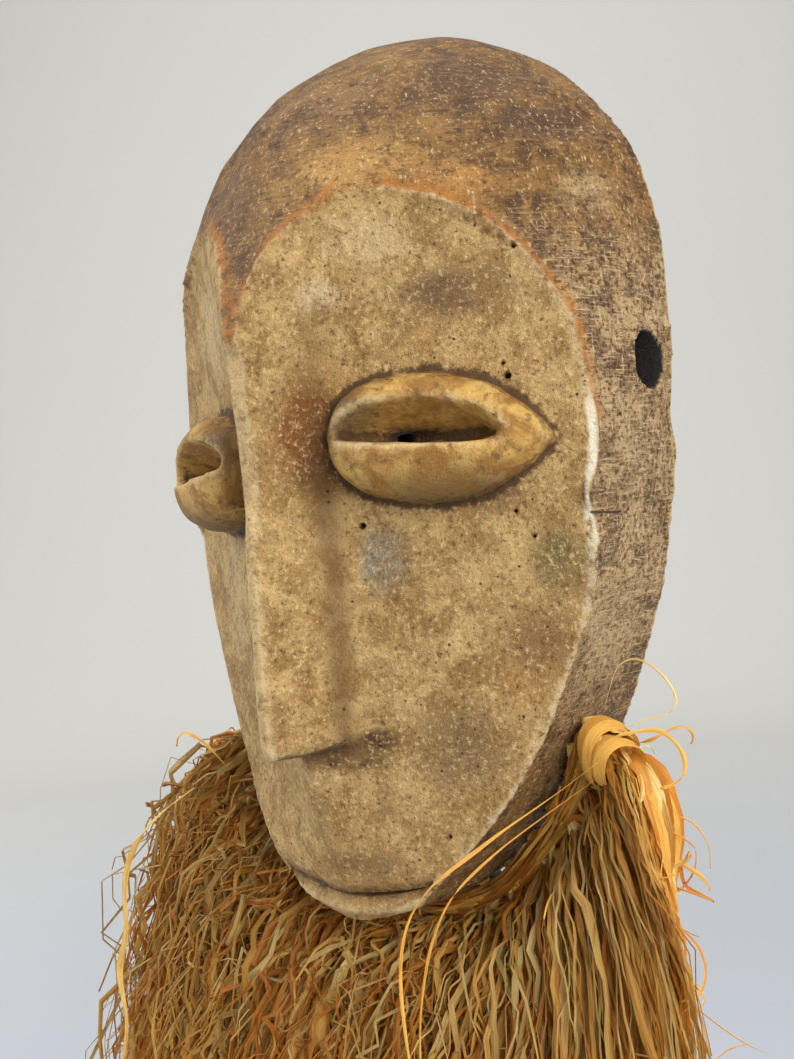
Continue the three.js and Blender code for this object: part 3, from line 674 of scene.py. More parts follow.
def make_tie_holes():
    holes = []
    for i in range(TUFT_COUNT):
        share = (i + 0.5) / TUFT_COUNT
        point, out = along_line(JAW, share), along_line(JAW_OUT, share)
        start, end = point - out * TIE_HOLE_DEPTH, point + out * TIE_HOLE_REACH
        holes.append(rod_between("tie", start, end, TIE_HOLE_RADIUS, TIE_HOLE_RADIUS, 14))
    return holes


# Fine mesh work on the finished carving

def mesh_arrays(mesh):
    points = np.empty(len(mesh.vertices) * 3)
    mesh.vertices.foreach_get("co", points)
    edges = np.empty(len(mesh.edges) * 2, np.int64)
    mesh.edges.foreach_get("vertices", edges)
    return points.reshape(-1, 3), edges.reshape(-1, 2)


def neighbour_mean(values, edges, count):
    """Mean over each vertex's neighbours, of numbers or of points."""
    values = values.reshape(len(values), -1)
    total = np.zeros_like(values)
    for k in range(values.shape[1]):
        total[:, k] = np.bincount(edges[:, 0], values[edges[:, 1], k], len(values))
        total[:, k] += np.bincount(edges[:, 1], values[edges[:, 0], k], len(values))
    return total / np.maximum(count, 1)[:, None]


def vertex_normals(mesh):
    normals = np.empty(len(mesh.vertices) * 3)
    mesh.vertex_normals.foreach_get("vector", normals)
    return normals.reshape(-1, 3)


def soft_noise(points, size, seed):
    """Smooth noise from -1 to 1 at each point, with features about size millimetres wide."""
    shift = Vector((seed * 13.7, seed * 7.3, seed * 3.1))
    scaled = points / size
    return np.array([noise.noise(Vector(p) + shift) for p in scaled])


def set_attribute(mesh, name, values):
    attribute = mesh.attributes.get(name) or mesh.attributes.new(name, "FLOAT", "POINT")
    attribute.data.foreach_set("value", np.asarray(values, np.float32))


def distance_to(points, line):
    tree = kdtree.KDTree(len(line))
    for i, p in enumerate(line):
        tree.insert(Vector(p), i)
    tree.balance()
    return np.array([tree.find(Vector(p))[2] for p in points])


VOXEL = 0.00166


def carve_mask():
    body = combine(make_shell(), make_nose_block(), "UNION")
    for side in (-1, 1):
        body = combine(body, make_face_cut(side), "DIFFERENCE")
    for side in (-1, 1):
        body = combine(body, make_eye_pod(side), "UNION")
    body = combine(body, make_hollow(), "DIFFERENCE")
    for side in (-1, 1):
        body = combine(body, make_slit(side), "DIFFERENCE")
        body = combine(body, make_ear_hole(side), "DIFFERENCE")
    for hole in make_tie_holes():
        body = combine(body, hole, "DIFFERENCE")
    return body


def remesh(body, size):
    """Even small faces all over, with every edge worn a little round."""
    modifier = body.modifiers.new("remesh", "REMESH")
    modifier.mode = "VOXEL"
    modifier.voxel_size = size
    graph = bpy.context.evaluated_depsgraph_get()
    result = bpy.data.meshes.new_from_object(body.evaluated_get(graph))
    body.modifiers.clear()
    body.data = result
    return body


def smooth_points(points, edges, rounds, strength):
    count = np.bincount(edges.ravel(), minlength=len(points))
    for _ in range(rounds):
        points = mix(points, neighbour_mean(points, edges, count), strength)
    return points


def mask_frame(points):
    """Row-frame metres to mask-frame millimetres."""
    return points / MM - np.array([0.0, RIM_Y, CHIN_Z])


def face_outer(z):
    """Where the face ends at a height: at the brow's line, or where its plane leaves the wood."""
    x = np.linspace(0.2, 1.0, 160)[:, None] * MASK_HALF_WIDTH
    x = np.minimum(x, half_width_at(z)[None] * 0.9995)
    level = np.broadcast_to(z, x.shape)
    carved = face_forward(x, level) < shell_forward(x, level)
    last = np.where(carved, x, 0).max(0)
    return np.minimum(MASK_HALF_WIDTH * brow_outer(z / MASK_HEIGHT), last)


def brow_edge():
    """The line where the shell breaks into the face, on the right half."""
    outer_z = MASK_HEIGHT * np.linspace(0.03, FACE_TOP, 260)
    inner_share = np.linspace(FACE_TOP, CUSP, 90)
    x = np.concatenate([face_outer(outer_z), MASK_HALF_WIDTH * brow_inner(inner_share)])
    z = np.concatenate([outer_z, MASK_HEIGHT * inner_share])
    return np.stack([x, -shell_forward(x, z), z], 1)


def in_face(points):
    """True on the carved face: inside the brow's line and on its sunk surface."""
    x, z = np.abs(points[:, 0]), points[:, 2]
    share = z / MASK_HEIGHT
    inner = np.where(share < CUSP, 0, MASK_HALF_WIDTH * brow_inner(share))
    outer = MASK_HALF_WIDTH * brow_outer(share)
    inside = (x > inner) & (x < outer) & (share < FACE_TOP) & (points[:, 1] < -8)
    return inside & (face_forward(x, z) + points[:, 1] < 1.0)


def shell_depth(points):
    """How far a point lies below the shell's outside, in millimetres, roughly."""
    x, z = np.abs(points[:, 0]), points[:, 2]
    forward = np.maximum(-points[:, 1], 0)
    power = squareness(z / MASK_HEIGHT)
    half, deep = np.maximum(half_width_at(z), 1), np.maximum(depth_at(z), 1)
    reach = ((x / half) ** power + (forward / deep) ** power) ** (1 / power)
    return (1 - reach) * np.hypot(x, forward)


def eye_coordinates(points, side):
    middle, along, up, out = eye_frame(side)
    away = points - middle
    return away @ along, away @ up, away @ out


def pod_distance(points):
    """Distance outside an eye pod's outline on the cheek, negative over the pod."""
    best = np.full(len(points), 1e3)
    for side in (-1, 1):
        u, v, w = eye_coordinates(points, side)
        share = np.clip(u / EYE_HALF_LENGTH, -1, 1)
        half = EYE_HALF_OPENING * pod_height(share)
        beyond = np.maximum(np.abs(u) - EYE_HALF_LENGTH, 0)
        away = np.hypot(np.maximum(np.abs(v) - half, 0), beyond)
        inside = np.where(beyond > 0, 0, np.minimum(np.abs(v) - half, 0))
        near = np.where((w > -9) & (w < 40), away + inside, 1e3)
        best = np.minimum(best, near)
    return best


# Places on the mask: across, up, radius in millimetres
DENTS = (
    (53.8, 268.2, 2.4), (79.7, 248.7, 2.2), (87.0, 230.0, 2.0), (64.0, 262.0, 1.5),
    (30.0, 284.0, 1.6), (-28.0, 262.0, 2.0), (-60.0, 240.0, 2.4), (-44.0, 279.0, 1.8),
)
# Chips and cracks: start and end in the mask's frame, half width and depth
CHIPS = (
    ((69.7, -54.7, 67.8), (64.0, -55.6, 55.0), 1.2, 0.9),
    ((62.0, -56.0, 51.0), (57.9, -56.0, 41.8), 0.9, 0.7),
    ((88.0, -48.4, 132.1), (91.2, -29.2, 131.0), 0.45, 0.8),
    ((64.9, -64.7, 234.4), (69.3, -70.5, 217.5), 0.5, 0.35),
    ((90.0, -46.0, 160.0), (90.6, -46.0, 154.0), 1.0, 0.8),
)


def line_distance(points, start, end):
    run = end - start
    share = np.clip((points - start) @ run / (run @ run), 0, 1)
    return np.linalg.norm(points - start - share[:, None] * run, axis=1)


FACET_SITES = 90
FACET_CUT = 1.5


def adze_facets(local, normals, off_face):
    """How far the broad flat cuts of the adze lie below the round of the shell."""
    outside = (shell_depth(local) < 0.8) & (local[:, 1] < -1) & off_face
    choices = np.nonzero(outside)[0][::7]
    chosen = [choices[len(choices) // 3]]
    away = np.linalg.norm(local[choices] - local[chosen[0]], axis=1)
    for _ in range(FACET_SITES - 1):
        chosen.append(choices[int(np.argmax(away))])
        away = np.minimum(away, np.linalg.norm(local[choices] - local[chosen[-1]], axis=1))
    rng = np.random.default_rng(7)
    cut = np.zeros(len(local))
    for i in chosen:
        tilt = normals[i] + rng.normal(0, 0.022, 3)
        tilt /= np.linalg.norm(tilt)
        depth = FACET_CUT * rng.uniform(0.45, 1.15)
        near = np.linalg.norm(local - local[i], axis=1) < 34
        cut = np.maximum(cut, np.where(near, (local - local[i]) @ tilt + depth, 0))
    return np.where(outside, np.minimum(cut, 2.2), 0)


def cheek_cuts(local, inside):
    """Shallow scalloped strokes left by the knife across the cheeks."""
    stroke = soft_noise(local * [1.0, 1.0, 0.45], 12.0, 8)
    return 0.22 * inside * stroke


def wear_surface(body):
    """Hand-carved unevenness, small dents and a worn notch in the rim."""
    points, edges = mesh_arrays(body.data)
    points = smooth_points(points, edges, 2, 0.5)
    normals = vertex_normals(body.data)
    local = mask_frame(points)
    face = in_face(local).astype(float)
    face = smooth_points(face[:, None], edges, 2, 0.5)[:, 0]
    set_attribute(body.data, "face", face)
    swell = 0.42 * soft_noise(local, 34.0, 1) + 0.16 * soft_noise(local, 11.0, 2)
    swell += 0.07 * soft_noise(local, 4.5, 3)
    for x, z, radius in DENTS:
        place = np.array([x, -float(shell_forward(abs(x), z)), z])
        away = np.linalg.norm(local - place, axis=1)
        swell -= 0.75 * np.exp(-(away / radius) ** 2)
    facets = adze_facets(local, normals, face < 0.2)
    swell -= smooth_points(facets[:, None], edges, 2, 0.5)[:, 0]
    swell += cheek_cuts(local, face)
    lips = (np.abs(local[:, 0]) < MOUTH_HALF_WIDTH + 3) & (local[:, 1] < -30) & (local[:, 2] < 60)
    below = local[:, 2] - mouth_level(local[:, 0])
    swell -= 1.7 * lips * np.exp(-(below / 2.4) ** 2)
    swell += 0.8 * lips * np.exp(-((below + 5.0) / 2.2) ** 2)
    # The worn groove round each eye, crumbled by dirt and old cuts
    pods = pod_distance(local)
    ring = np.exp(-((pods - 1.4) / 1.3) ** 2) * face
    swell -= ring * (0.35 + 0.75 * np.maximum(soft_noise(local, 2.6, 12), 0))
    # Chips along the jaw's edge and the crack across the brow's lower end
    for start, end, width, depth in CHIPS:
        away = line_distance(local, np.array(start), np.array(end))
        ragged = 1 + 0.5 * soft_noise(local, 3.0, 15)
        swell -= depth * ragged * np.exp(-(away / width) ** 2)
    notch = np.array([MASK_HALF_WIDTH, -2.0, 161.6])
    away = np.linalg.norm((local - notch) * [0.7, 1.0, 0.5], axis=1)
    swell -= 2.2 * np.exp(-(away / 3.6) ** 2)
    # Long adze strokes inside the hollow
    inside = smooth(5, 8, shell_depth(local)) * (local[:, 1] > -92)
    stroke = soft_noise(local * [1, 1, 0.35], 9.0, 4)
    swell += 0.35 * inside * stroke
    points = points + normals * (swell * MM)[:, None]
    body.data.vertices.foreach_set("co", points.ravel())
    body.data.update()


def paint_mask(body):
    """Stores what the material needs to know at each point of the wood."""
    points, edges = mesh_arrays(body.data)
    local = mask_frame(points)
    normals = vertex_normals(body.data)
    blurred = smooth_points(local, edges, 6, 0.6)
    bend = ((local - blurred) * normals).sum(1)
    bend /= np.percentile(np.abs(bend), 97)
    x, y, z = local.T
    side = np.abs(x)
    edge_line = brow_edge()
    edge = distance_to(np.stack([side, y, z], 1), edge_line)
    pods = pod_distance(local)
    lid = (pods < 0.6) & (y < 0)
    above = np.stack([eye_coordinates(local, s)[2] for s in (-1, 1)]).max(0)
    lid = lid & (above > 0.8)
    deep = shell_depth(local)
    front_gap = face_forward(x, z) + y
    hollow = (deep > 5.5) & (front_gap > 5.5) & ~lid
    hollow |= (deep > 8.5) & (front_gap > 2.5) & (pods < 0) & (above < -3)
    # Where the ear holes' bores get painted black shade
    bore = np.zeros(len(local), bool)
    for s in (-1, 1):
        away = np.hypot(y + ear_hole_back(s * x), (z - EAR_HOLE_HEIGHT) / EAR_HOLE_STRETCH)
        bore |= (away < EAR_HOLE_RADIUS + 0.8) & (s * x > 60) & (deep > 1.6) & (deep < 30)
    share = z / MASK_HEIGHT
    nose_side = MASK_DEPTH * nose_crest(share) - nose_slope(share) * side
    cheek = MASK_DEPTH * ridge_forward(share) - cheek_slope(share) * side
    on_nose = (y < -50) * smooth(NOSE_TIP_HEIGHT - 1, NOSE_TIP_HEIGHT + 2, z) * smooth(212, 190, z)
    fading = mix(0.95, 0.45, smooth(130, 175, z))
    # Grime and painted shade along the nose's creases, fading upward
    crease = np.exp(-((nose_side - cheek) / 2.6) ** 2) * on_nose * fading
    # Painted highlight along the nose's crest
    crest = np.exp(-((side - NOSE_CREST_HALF_WIDTH) / 1.1) ** 2) * on_nose
    lips = (side < MOUTH_HALF_WIDTH + 2) & (y < -30) & (z < 40)
    below = z - mouth_level(x)
    # Grime and painted shade along the mouth's line, and a painted highlight on the lower lip's
    # edge
    crease = np.maximum(crease, lips * np.exp(-(below / 1.8) ** 2))
    crest = np.maximum(crest, 0.8 * lips * np.exp(-((below + 5.5) / 0.9) ** 2))
    # Painted shadow under the nose's tip, stored with the creases
    under = np.exp(-((z - nose_tip_at(x) + 1.5) / 2.6) ** 2) * (side < 18) * (y < -50)
    mesh = body.data
    set_attribute(mesh, "bore", bore.astype(float))
    set_attribute(mesh, "crease", np.maximum(crease, under))
    set_attribute(mesh, "crest", crest)
    set_attribute(mesh, "lid", smooth_points(lid.astype(float)[:, None], edges, 1, 0.5)[:, 0])
    set_attribute(mesh, "hollow", hollow.astype(float))
    set_attribute(mesh, "bend", bend)
    set_attribute(mesh, "edge", edge)
    # Painted highlight on worn wood along the brow's edge, strongest from about 130 to 162 mm up
    ridge = mix(0.1, 0.85, smooth(174, 162, z)) * mix(0.35, 1, smooth(112, 130, z))
    set_attribute(mesh, "ridge", ridge * (side > 40))
    set_attribute(mesh, "high", smooth(140, 172, z))
    set_attribute(mesh, "band", smooth(58, 84, side) * smooth(236, 200, z))
    set_attribute(mesh, "pod", np.clip(pods, -30, 60))


# Materials

class Material:
    """Short calls for building one procedural material."""

    def __init__(self, name):
        self.data = bpy.data.materials.new(name)
        self.data.use_nodes = True
        self.nodes = self.data.node_tree.nodes
        self.links = self.data.node_tree.links
        self.shader = self.nodes["Principled BSDF"]
        place = self.nodes.new("ShaderNodeTexCoord").outputs["Object"]
        self.place = self.vector("SCALE", place, scale=1 / MM)

    def feed(self, socket, value):
        if isinstance(value, bpy.types.NodeSocket):
            self.links.new(value, socket)
        else:
            socket.default_value = value

    def node(self, kind, **settings):
        made = self.nodes.new(kind)
        for name, value in settings.items():
            setattr(made, name, value)
        return made

    def attribute(self, name):
        return self.node("ShaderNodeAttribute", attribute_name=name).outputs["Fac"]

    def vector(self, operation, a, b=None, c=None, scale=None):
        made = self.node("ShaderNodeVectorMath", operation=operation)
        self.feed(made.inputs[0], a)
        if b is not None:
            self.feed(made.inputs[1], b)
        if c is not None:
            self.feed(made.inputs[2], c)
        if scale is not None:
            made.inputs["Scale"].default_value = scale
        single = operation in ("LENGTH", "DISTANCE", "DOT_PRODUCT")
        return made.outputs["Value" if single else "Vector"]

    def math(self, operation, a, b=0.0, clamp=False):
        made = self.node("ShaderNodeMath", operation=operation, use_clamp=clamp)
        self.feed(made.inputs[0], a)
        self.feed(made.inputs[1], b)
        return made.outputs[0]

    def ramp(self, value, low, high, out_low=0.0, out_high=1.0):
        made = self.node("ShaderNodeMapRange", interpolation_type="SMOOTHSTEP")
        for socket, given in zip(made.inputs, (value, low, high, out_low, out_high)):
            self.feed(socket, given)
        return made.outputs[0]

    def mix(self, a, b, factor):
        made = self.node("ShaderNodeMix", data_type="RGBA")
        self.feed(made.inputs[0], factor)
        self.feed(made.inputs[6], a)
        self.feed(made.inputs[7], b)
        return made.outputs[2]

    def noise(self, size, stretch=(1, 1, 1), seed=0.0, detail=3.0, rough=0.55, warp=0.0,
              source=None):
        scale = tuple(1 / (size * s) for s in stretch)
        shift = (seed * 17.3, seed * 5.1, seed * 9.7)
        place = self.vector("MULTIPLY_ADD", source or self.place, scale, shift)
        made = self.node("ShaderNodeTexNoise")
        self.feed(made.inputs["Vector"], place)
        made.inputs["Scale"].default_value = 1.0
        made.inputs["Detail"].default_value = detail
        made.inputs["Roughness"].default_value = rough
        made.inputs["Distortion"].default_value = warp
        return made.outputs["Fac"]

    def cells(self, size, stretch=(1, 1, 1), seed=0.0, source=None):
        scale = tuple(1 / (size * s) for s in stretch)
        shift = (seed * 11.9, seed * 3.7, seed * 6.1)
        place = self.vector("MULTIPLY_ADD", source or self.place, scale, shift)
        made = self.node("ShaderNodeTexVoronoi")
        self.feed(made.inputs["Vector"], place)
        made.inputs["Scale"].default_value = 1.0
        return made.outputs["Distance"], made.outputs["Color"]

    def spot(self, centre, radius, soft=0.6, shape=(1, 1, 1)):
        """1 at a place on the mask, falling to 0 at its radius."""
        middle = tuple(to_row(centre) / MM)
        away = self.vector("MULTIPLY", self.vector("SUBTRACT", self.place, middle), shape)
        return self.ramp(self.vector("LENGTH", away), radius, radius * (1 - soft))

    def line(self, start, end, radius, soft=0.6):
        """1 along a straight line between two places, falling to 0 at its radius."""
        first, last = (to_row(place) / MM for place in (start, end))
        run = last - first
        away = self.vector("SUBTRACT", self.place, tuple(first))
        share = self.vector("DOT_PRODUCT", away, tuple(run))
        share = self.math("DIVIDE", share, float(run @ run), clamp=True)
        step = self.node("ShaderNodeVectorMath", operation="SCALE")
        step.inputs[0].default_value = tuple(run)
        self.links.new(share, step.inputs["Scale"])
        gap = self.vector("LENGTH", self.vector("SUBTRACT", away, step.outputs["Vector"]))
        return self.ramp(gap, radius, radius * (1 - soft))

    def bump(self, height, distance, normal=None):
        made = self.node("ShaderNodeBump")
        made.inputs["Strength"].default_value = 1.0
        made.inputs["Distance"].default_value = distance
        self.feed(made.inputs["Height"], height)
        if normal is not None:
            self.feed(made.inputs["Normal"], normal)
        return made.outputs["Normal"]

    def finish(self, colour, roughness, normal=None):
        self.feed(self.shader.inputs["Base Color"], colour)
        self.feed(self.shader.inputs["Roughness"], roughness)
        if normal is not None:
            self.feed(self.shader.inputs["Normal"], normal)
        return self.data


# Stains on the carved skin, and two patches of painted shadow under the nose's tip: middle, radius,
# stretch of each axis, colour, strength
SKIN_STAINS = (
    ((16.0, -93.0, 162.0), 27, (2.0, 0.4, 1), (126, 74, 18), 0.8),
    ((14.0, -90.0, 150.0), 9, (1, 0.5, 0.8), (110, 68, 24), 0.6),
    ((56.0, -68.0, 204.0), 24, (1, 0.4, 2.2), (120, 90, 58), 0.75),
    ((29.0, -79.0, 122.0), 12, (1.2, 0.5, 0.8), (136, 132, 118), 0.75),
    # The next two are painted shadow under the nose's tip
    ((22.5, -79.0, 63.7), 8, (0.8, 0.4, 1.5), (84, 54, 26), 0.85),
    ((14.0, -90.0, 58.0), 12, (0.6, 0.4, 1.7), (96, 64, 32), 0.7),
    ((70.3, -54.9, 93.1), 16, (1, 0.4, 1), (136, 98, 56), 0.6),
    ((77.9, -51.6, 117.9), 12, (1, 0.4, 0.8), (124, 106, 62), 0.7),
    ((22.6, -93.2, 205.6), 8, (1, 0.4, 1), (208, 186, 144), 0.6),
    ((60.0, -64.0, 139.0), 14, (0.8, 0.4, 1.6), (118, 84, 46), 0.45),
    ((36.0, -84.0, 222.0), 16, (1, 0.4, 1.4), (200, 172, 124), 0.6),
    ((45.0, -68.0, 60.0), 22, (1, 0.4, 1), (134, 104, 66), 0.6),
    ((10.0, -78.0, 22.0), 16, (0.7, 0.4, 2.4), (126, 92, 56), 0.5),
    ((-40.0, -72.0, 205.0), 26, (1, 0.4, 1), (204, 178, 130), 0.6),
    ((-52.0, -66.0, 112.0), 26, (1, 0.4, 0.7), (200, 174, 124), 0.55),
)
# The same on the bare shell
SHELL_STAINS = (
    ((32.2, -84.0, 246.0), 22, (0.8, 0.4, 1.6), (182, 136, 70), 0.75),
    ((60.0, -68.0, 238.0), 14, (0.9, 0.4, 1.4), (176, 124, 60), 0.7),
    ((52.4, -43.6, 277.0), 20, (0.8, 0.5, 1.2), (96, 66, 38), 0.75),
    ((72.3, -34.6, 259.5), 14, (0.7, 0.5, 1.5), (84, 56, 32), 0.75),
    ((-18.8, -95.0, 238.0), 26, (1, 0.4, 1), (116, 84, 50), 0.7),
    ((10.0, -78.0, 272.0), 24, (0.8, 0.5, 1.4), (138, 102, 62), 0.6),
    ((88.0, -34.0, 236.0), 12, (1, 0.6, 1), (190, 160, 112), 0.6),
    ((92.0, -30.0, 150.0), 22, (1, 0.8, 0.8), (150, 122, 84), 0.5),
    ((86.0, -30.0, 95.0), 24, (1, 0.8, 0.8), (172, 140, 92), 0.6),
)


def add_stains(m, colour, stains, ragged):
    """Soft-edged stains and patches of painted shadow, broken up by the same noise as the skin
    around them.
    """
    for middle, radius, stretch, shade_of, strength in stains:
        area = m.math("MULTIPLY", m.spot(middle, radius, 0.75, stretch), ragged)
        colour = m.mix(colour, srgb(*shade_of), m.math("MULTIPLY", area, strength * 1.6, True))
    return colour


STORED_FACTS = (
    "face", "bend", "edge", "lid", "pod", "hollow", "ridge", "high", "band", "bore", "crease",
    "crest",
)


class WoodPattern:
    """The facts stored at each point and the noises that the wood's layers share."""

    def __init__(self, m):
        for name in STORED_FACTS:
            setattr(self, name, m.attribute(name))
        self.broad = m.noise(42, seed=1, detail=4)
        self.cloud = m.noise(11, seed=2, detail=6, rough=0.68, warp=0.4)
        self.mottle = m.noise(4.2, seed=9, detail=5, rough=0.7)
        self.fine = m.noise(1.7, seed=3, detail=4, rough=0.75)
        self.grit = m.noise(0.7, seed=4, detail=3, rough=0.8)
        self.grain = m.noise(0.9, stretch=(1, 1, 10), seed=5, detail=4, rough=0.65)
        self.across = m.noise(0.75, stretch=(9, 9, 1), seed=6, detail=3, rough=0.65, warp=0.5)
        torn = m.math("ADD", self.cloud, m.math("MULTIPLY", self.fine, 0.4))
        self.ragged = m.ramp(torn, 0.52, 0.78, 0.25, 1.0)


def add_layers(m, colour, layers):
    """Lays each colour over the last where its noise goes from one value to another."""
    for shade_of, noise_value, low, high, strength in layers:
        colour = m.mix(colour, srgb(*shade_of), m.ramp(noise_value, low, high, 0, strength))
    return colour


def skin_colour(m, p):
    """Sunken face: khaki patina over ochre wood, mottled, scratched and pitted, with grime and
    painted shade in its creases and painted highlights on the nose's crest and the lower lip.
    """
    skin = m.mix(srgb(152, 116, 64), srgb(200, 166, 108), m.ramp(p.cloud, 0.36, 0.64))
    skin = m.mix(skin, srgb(172, 128, 68), m.ramp(p.broad, 0.52, 0.72, 0, 0.7))
    skin = add_stains(m, skin, SKIN_STAINS, p.ragged)
    skin = add_layers(m, skin, (
        ((222, 190, 134), p.mottle, 0.55, 0.7, 0.35),
        ((118, 84, 42), p.mottle, 0.45, 0.3, 0.5),
        ((230, 198, 142), p.fine, 0.52, 0.68, 0.7),
        ((92, 60, 28), p.fine, 0.46, 0.32, 0.85),
        ((64, 42, 20), p.grit, 0.42, 0.3, 0.7),
        ((232, 206, 158), p.grit, 0.62, 0.76, 0.35),
    ))
    scratch = m.math("MULTIPLY", m.ramp(p.grain, 0.6, 0.7), m.ramp(p.mottle, 0.45, 0.6))
    skin = m.mix(skin, srgb(224, 198, 150), m.math("MULTIPLY", scratch, 0.5))
    pits, _ = m.cells(4.6, seed=3)
    p.pitted = m.math("MULTIPLY", m.ramp(pits, 0.13, 0.07), m.ramp(p.cloud, 0.5, 0.58))
    skin = m.mix(skin, srgb(44, 28, 16), m.math("MULTIPLY", p.pitted, 0.85))
    # Grime and painted shade in the nose's creases, the mouth's line and under the nose's tip, and
    # a painted highlight along the crest and the lower lip's edge
    crease_dirt_and_shade = m.math("MULTIPLY", p.crease, m.ramp(p.fine, 0.3, 0.6, 0.35, 0.95))
    skin = m.mix(skin, srgb(92, 60, 28), m.math("MULTIPLY", crease_dirt_and_shade, 0.85))
    lit = m.math("MULTIPLY", p.crest, m.ramp(p.mottle, 0.38, 0.56, 0.2, 0.75))
    skin = m.mix(skin, srgb(228, 200, 148), lit)
    return skin


def bark_colour(m, p):
    """Shell: brown, with cream flecks, level lines on the band and an orange groove."""
    bark = m.mix(srgb(78, 47, 18), srgb(136, 96, 44), m.ramp(p.cloud, 0.38, 0.6))
    bark = m.mix(bark, srgb(158, 118, 58), m.ramp(p.broad, 0.5, 0.68, 0, 0.5))
    bark = add_stains(m, bark, SHELL_STAINS, p.ragged)
    bark = add_layers(m, bark, (
        ((62, 38, 18), p.mottle, 0.45, 0.32, 0.75),
        ((178, 140, 82), p.mottle, 0.56, 0.68, 0.5),
        ((54, 32, 14), p.fine, 0.47, 0.33, 0.8),
        ((198, 160, 98), p.fine, 0.56, 0.7, 0.6),
    ))
    lines = m.math("MULTIPLY", m.ramp(p.across, 0.46, 0.34), m.math("ADD", p.band, 0.35))
    bark = m.mix(bark, srgb(72, 44, 22), m.math("MULTIPLY", lines, 0.5, True))
    pale = m.math("MULTIPLY", m.ramp(p.across, 0.54, 0.66), m.math("ADD", p.band, 0.3))
    bark = m.mix(bark, srgb(206, 178, 134), m.math("MULTIPLY", pale, 0.6, True))
    worn_band = m.math("MULTIPLY", p.band, m.ramp(p.cloud, 0.4, 0.6, 0.25, 0.8))
    worn_band = m.math("MULTIPLY", worn_band, m.ramp(p.fine, 0.4, 0.55))
    bark = m.mix(bark, srgb(196, 168, 126), worn_band)
    flecks = m.math("MULTIPLY", m.ramp(p.grain, 0.55, 0.64), m.ramp(p.fine, 0.48, 0.6))
    bark = m.mix(bark, srgb(222, 200, 156), m.math("MULTIPLY", flecks, 0.8))
    dots, _ = m.cells(2.6, seed=7)
    dotted = m.math("MULTIPLY", m.ramp(dots, 0.16, 0.09), m.ramp(p.mottle, 0.5, 0.6, 0, 0.55))
    bark = m.mix(bark, srgb(226, 206, 164), dotted)
    groove = m.math("MULTIPLY", m.ramp(p.edge, 6.5, 2.5), m.ramp(p.edge, 0.6, 1.6))
    groove = m.math("MULTIPLY", groove, m.ramp(p.mottle, 0.4, 0.56, 0.15, 0.8))
    bark = m.mix(bark, srgb(180, 112, 36), m.math("MULTIPLY", groove, p.high))
    return bark


def lid_colour(m, p):
    """Lids: ochre, streaked along, with painted shade on their lower halves and greyer at the inner
    ends.
    """
    ochre = m.mix(srgb(156, 108, 44), srgb(212, 170, 92), m.ramp(p.cloud, 0.38, 0.62))
    ochre = add_layers(m, ochre, (
        ((104, 80, 44), p.mottle, 0.45, 0.32, 0.8),
        ((232, 206, 146), p.fine, 0.6, 0.76, 0.7),
    ))
    for side in (-1, 1):
        middle, along, up, out = eye_frame(side)
        inner = middle - along * 28 + up * 5 + out * 12
        greyer_inner_end = m.math("MULTIPLY", m.spot(inner, 15, 0.8), m.ramp(p.mottle, 0.35, 0.6, 0.2, 1))
        ochre = m.mix(ochre, srgb(92, 82, 64), greyer_inner_end)
        # Painted shade on the lower half of each lid
        under = middle - up * 17 + out * 5 + along * 4
        lower_lid_shade = m.math("MULTIPLY", m.spot(under, 24, 0.8, (0.7, 0.7, 1.5)), p.ragged)
        ochre = m.mix(ochre, srgb(104, 80, 42), m.math("MULTIPLY", lower_lid_shade, 0.9))
    return ochre


def add_dirt_shade_and_highlights(m, p, colour):
    """A darker crumbled ring round the pods, grime and painted shade in the creases and hollows of
    the carving, worn edges with painted highlights, and painted shade in the ear holes.
    """
    crumble = m.math("ADD", p.pod, m.math("MULTIPLY", m.math("SUBTRACT", p.mottle, 0.5), 14))
    ring = m.math("MULTIPLY", m.ramp(crumble, 2.6, 0.2), m.ramp(crumble, -1.4, -0.2))
    ring = m.math("MULTIPLY", ring, m.ramp(p.fine, 0.4, 0.56, 0.0, 0.8))
    colour = m.mix(colour, srgb(88, 58, 28), ring)
    rough_bend = m.math("ADD", p.bend, m.math("MULTIPLY", m.math("SUBTRACT", p.fine, 0.5), 1.6))
    rough_bend = m.math("ADD", rough_bend, m.math("SUBTRACT", p.mottle, 0.5))
    # Grime and painted shade where the surface bends inward
    cavity_dirt_and_shade = m.ramp(rough_bend, -0.3, -1.1)
    colour = m.mix(colour, srgb(70, 44, 20), m.math("MULTIPLY", cavity_dirt_and_shade, 0.85))
    # Worn edges and painted highlights where the surface bends outward
    edge_wear_and_highlight = m.ramp(rough_bend, 0.5, 1.6)
    colour = m.mix(colour, srgb(222, 198, 150), m.math("MULTIPLY", edge_wear_and_highlight, 0.6))
    for start, end, width, _ in CHIPS[:2]:
        bare = m.math("MULTIPLY", m.line(start, end, width * 2.4), m.ramp(p.fine, 0.36, 0.6))
        colour = m.mix(colour, srgb(214, 186, 136), m.math("MULTIPLY", bare, 0.7))
    colour = m.mix(colour, srgb(52, 34, 20), m.math("MULTIPLY", m.line(*CHIPS[2][:2], 0.7), 0.9))
    colour = m.mix(colour, srgb(224, 204, 160), m.math("MULTIPLY", m.line(*CHIPS[3][:2], 0.8), 0.8))
    inside = m.mix(srgb(58, 38, 22), srgb(96, 68, 40), m.ramp(p.grain, 0.35, 0.65))
    colour = m.mix(colour, inside, p.hollow)
    # Painted shade: the ear holes' bores are painted near black
    colour = m.mix(colour, srgb(18, 12, 8), p.bore)
    return colour


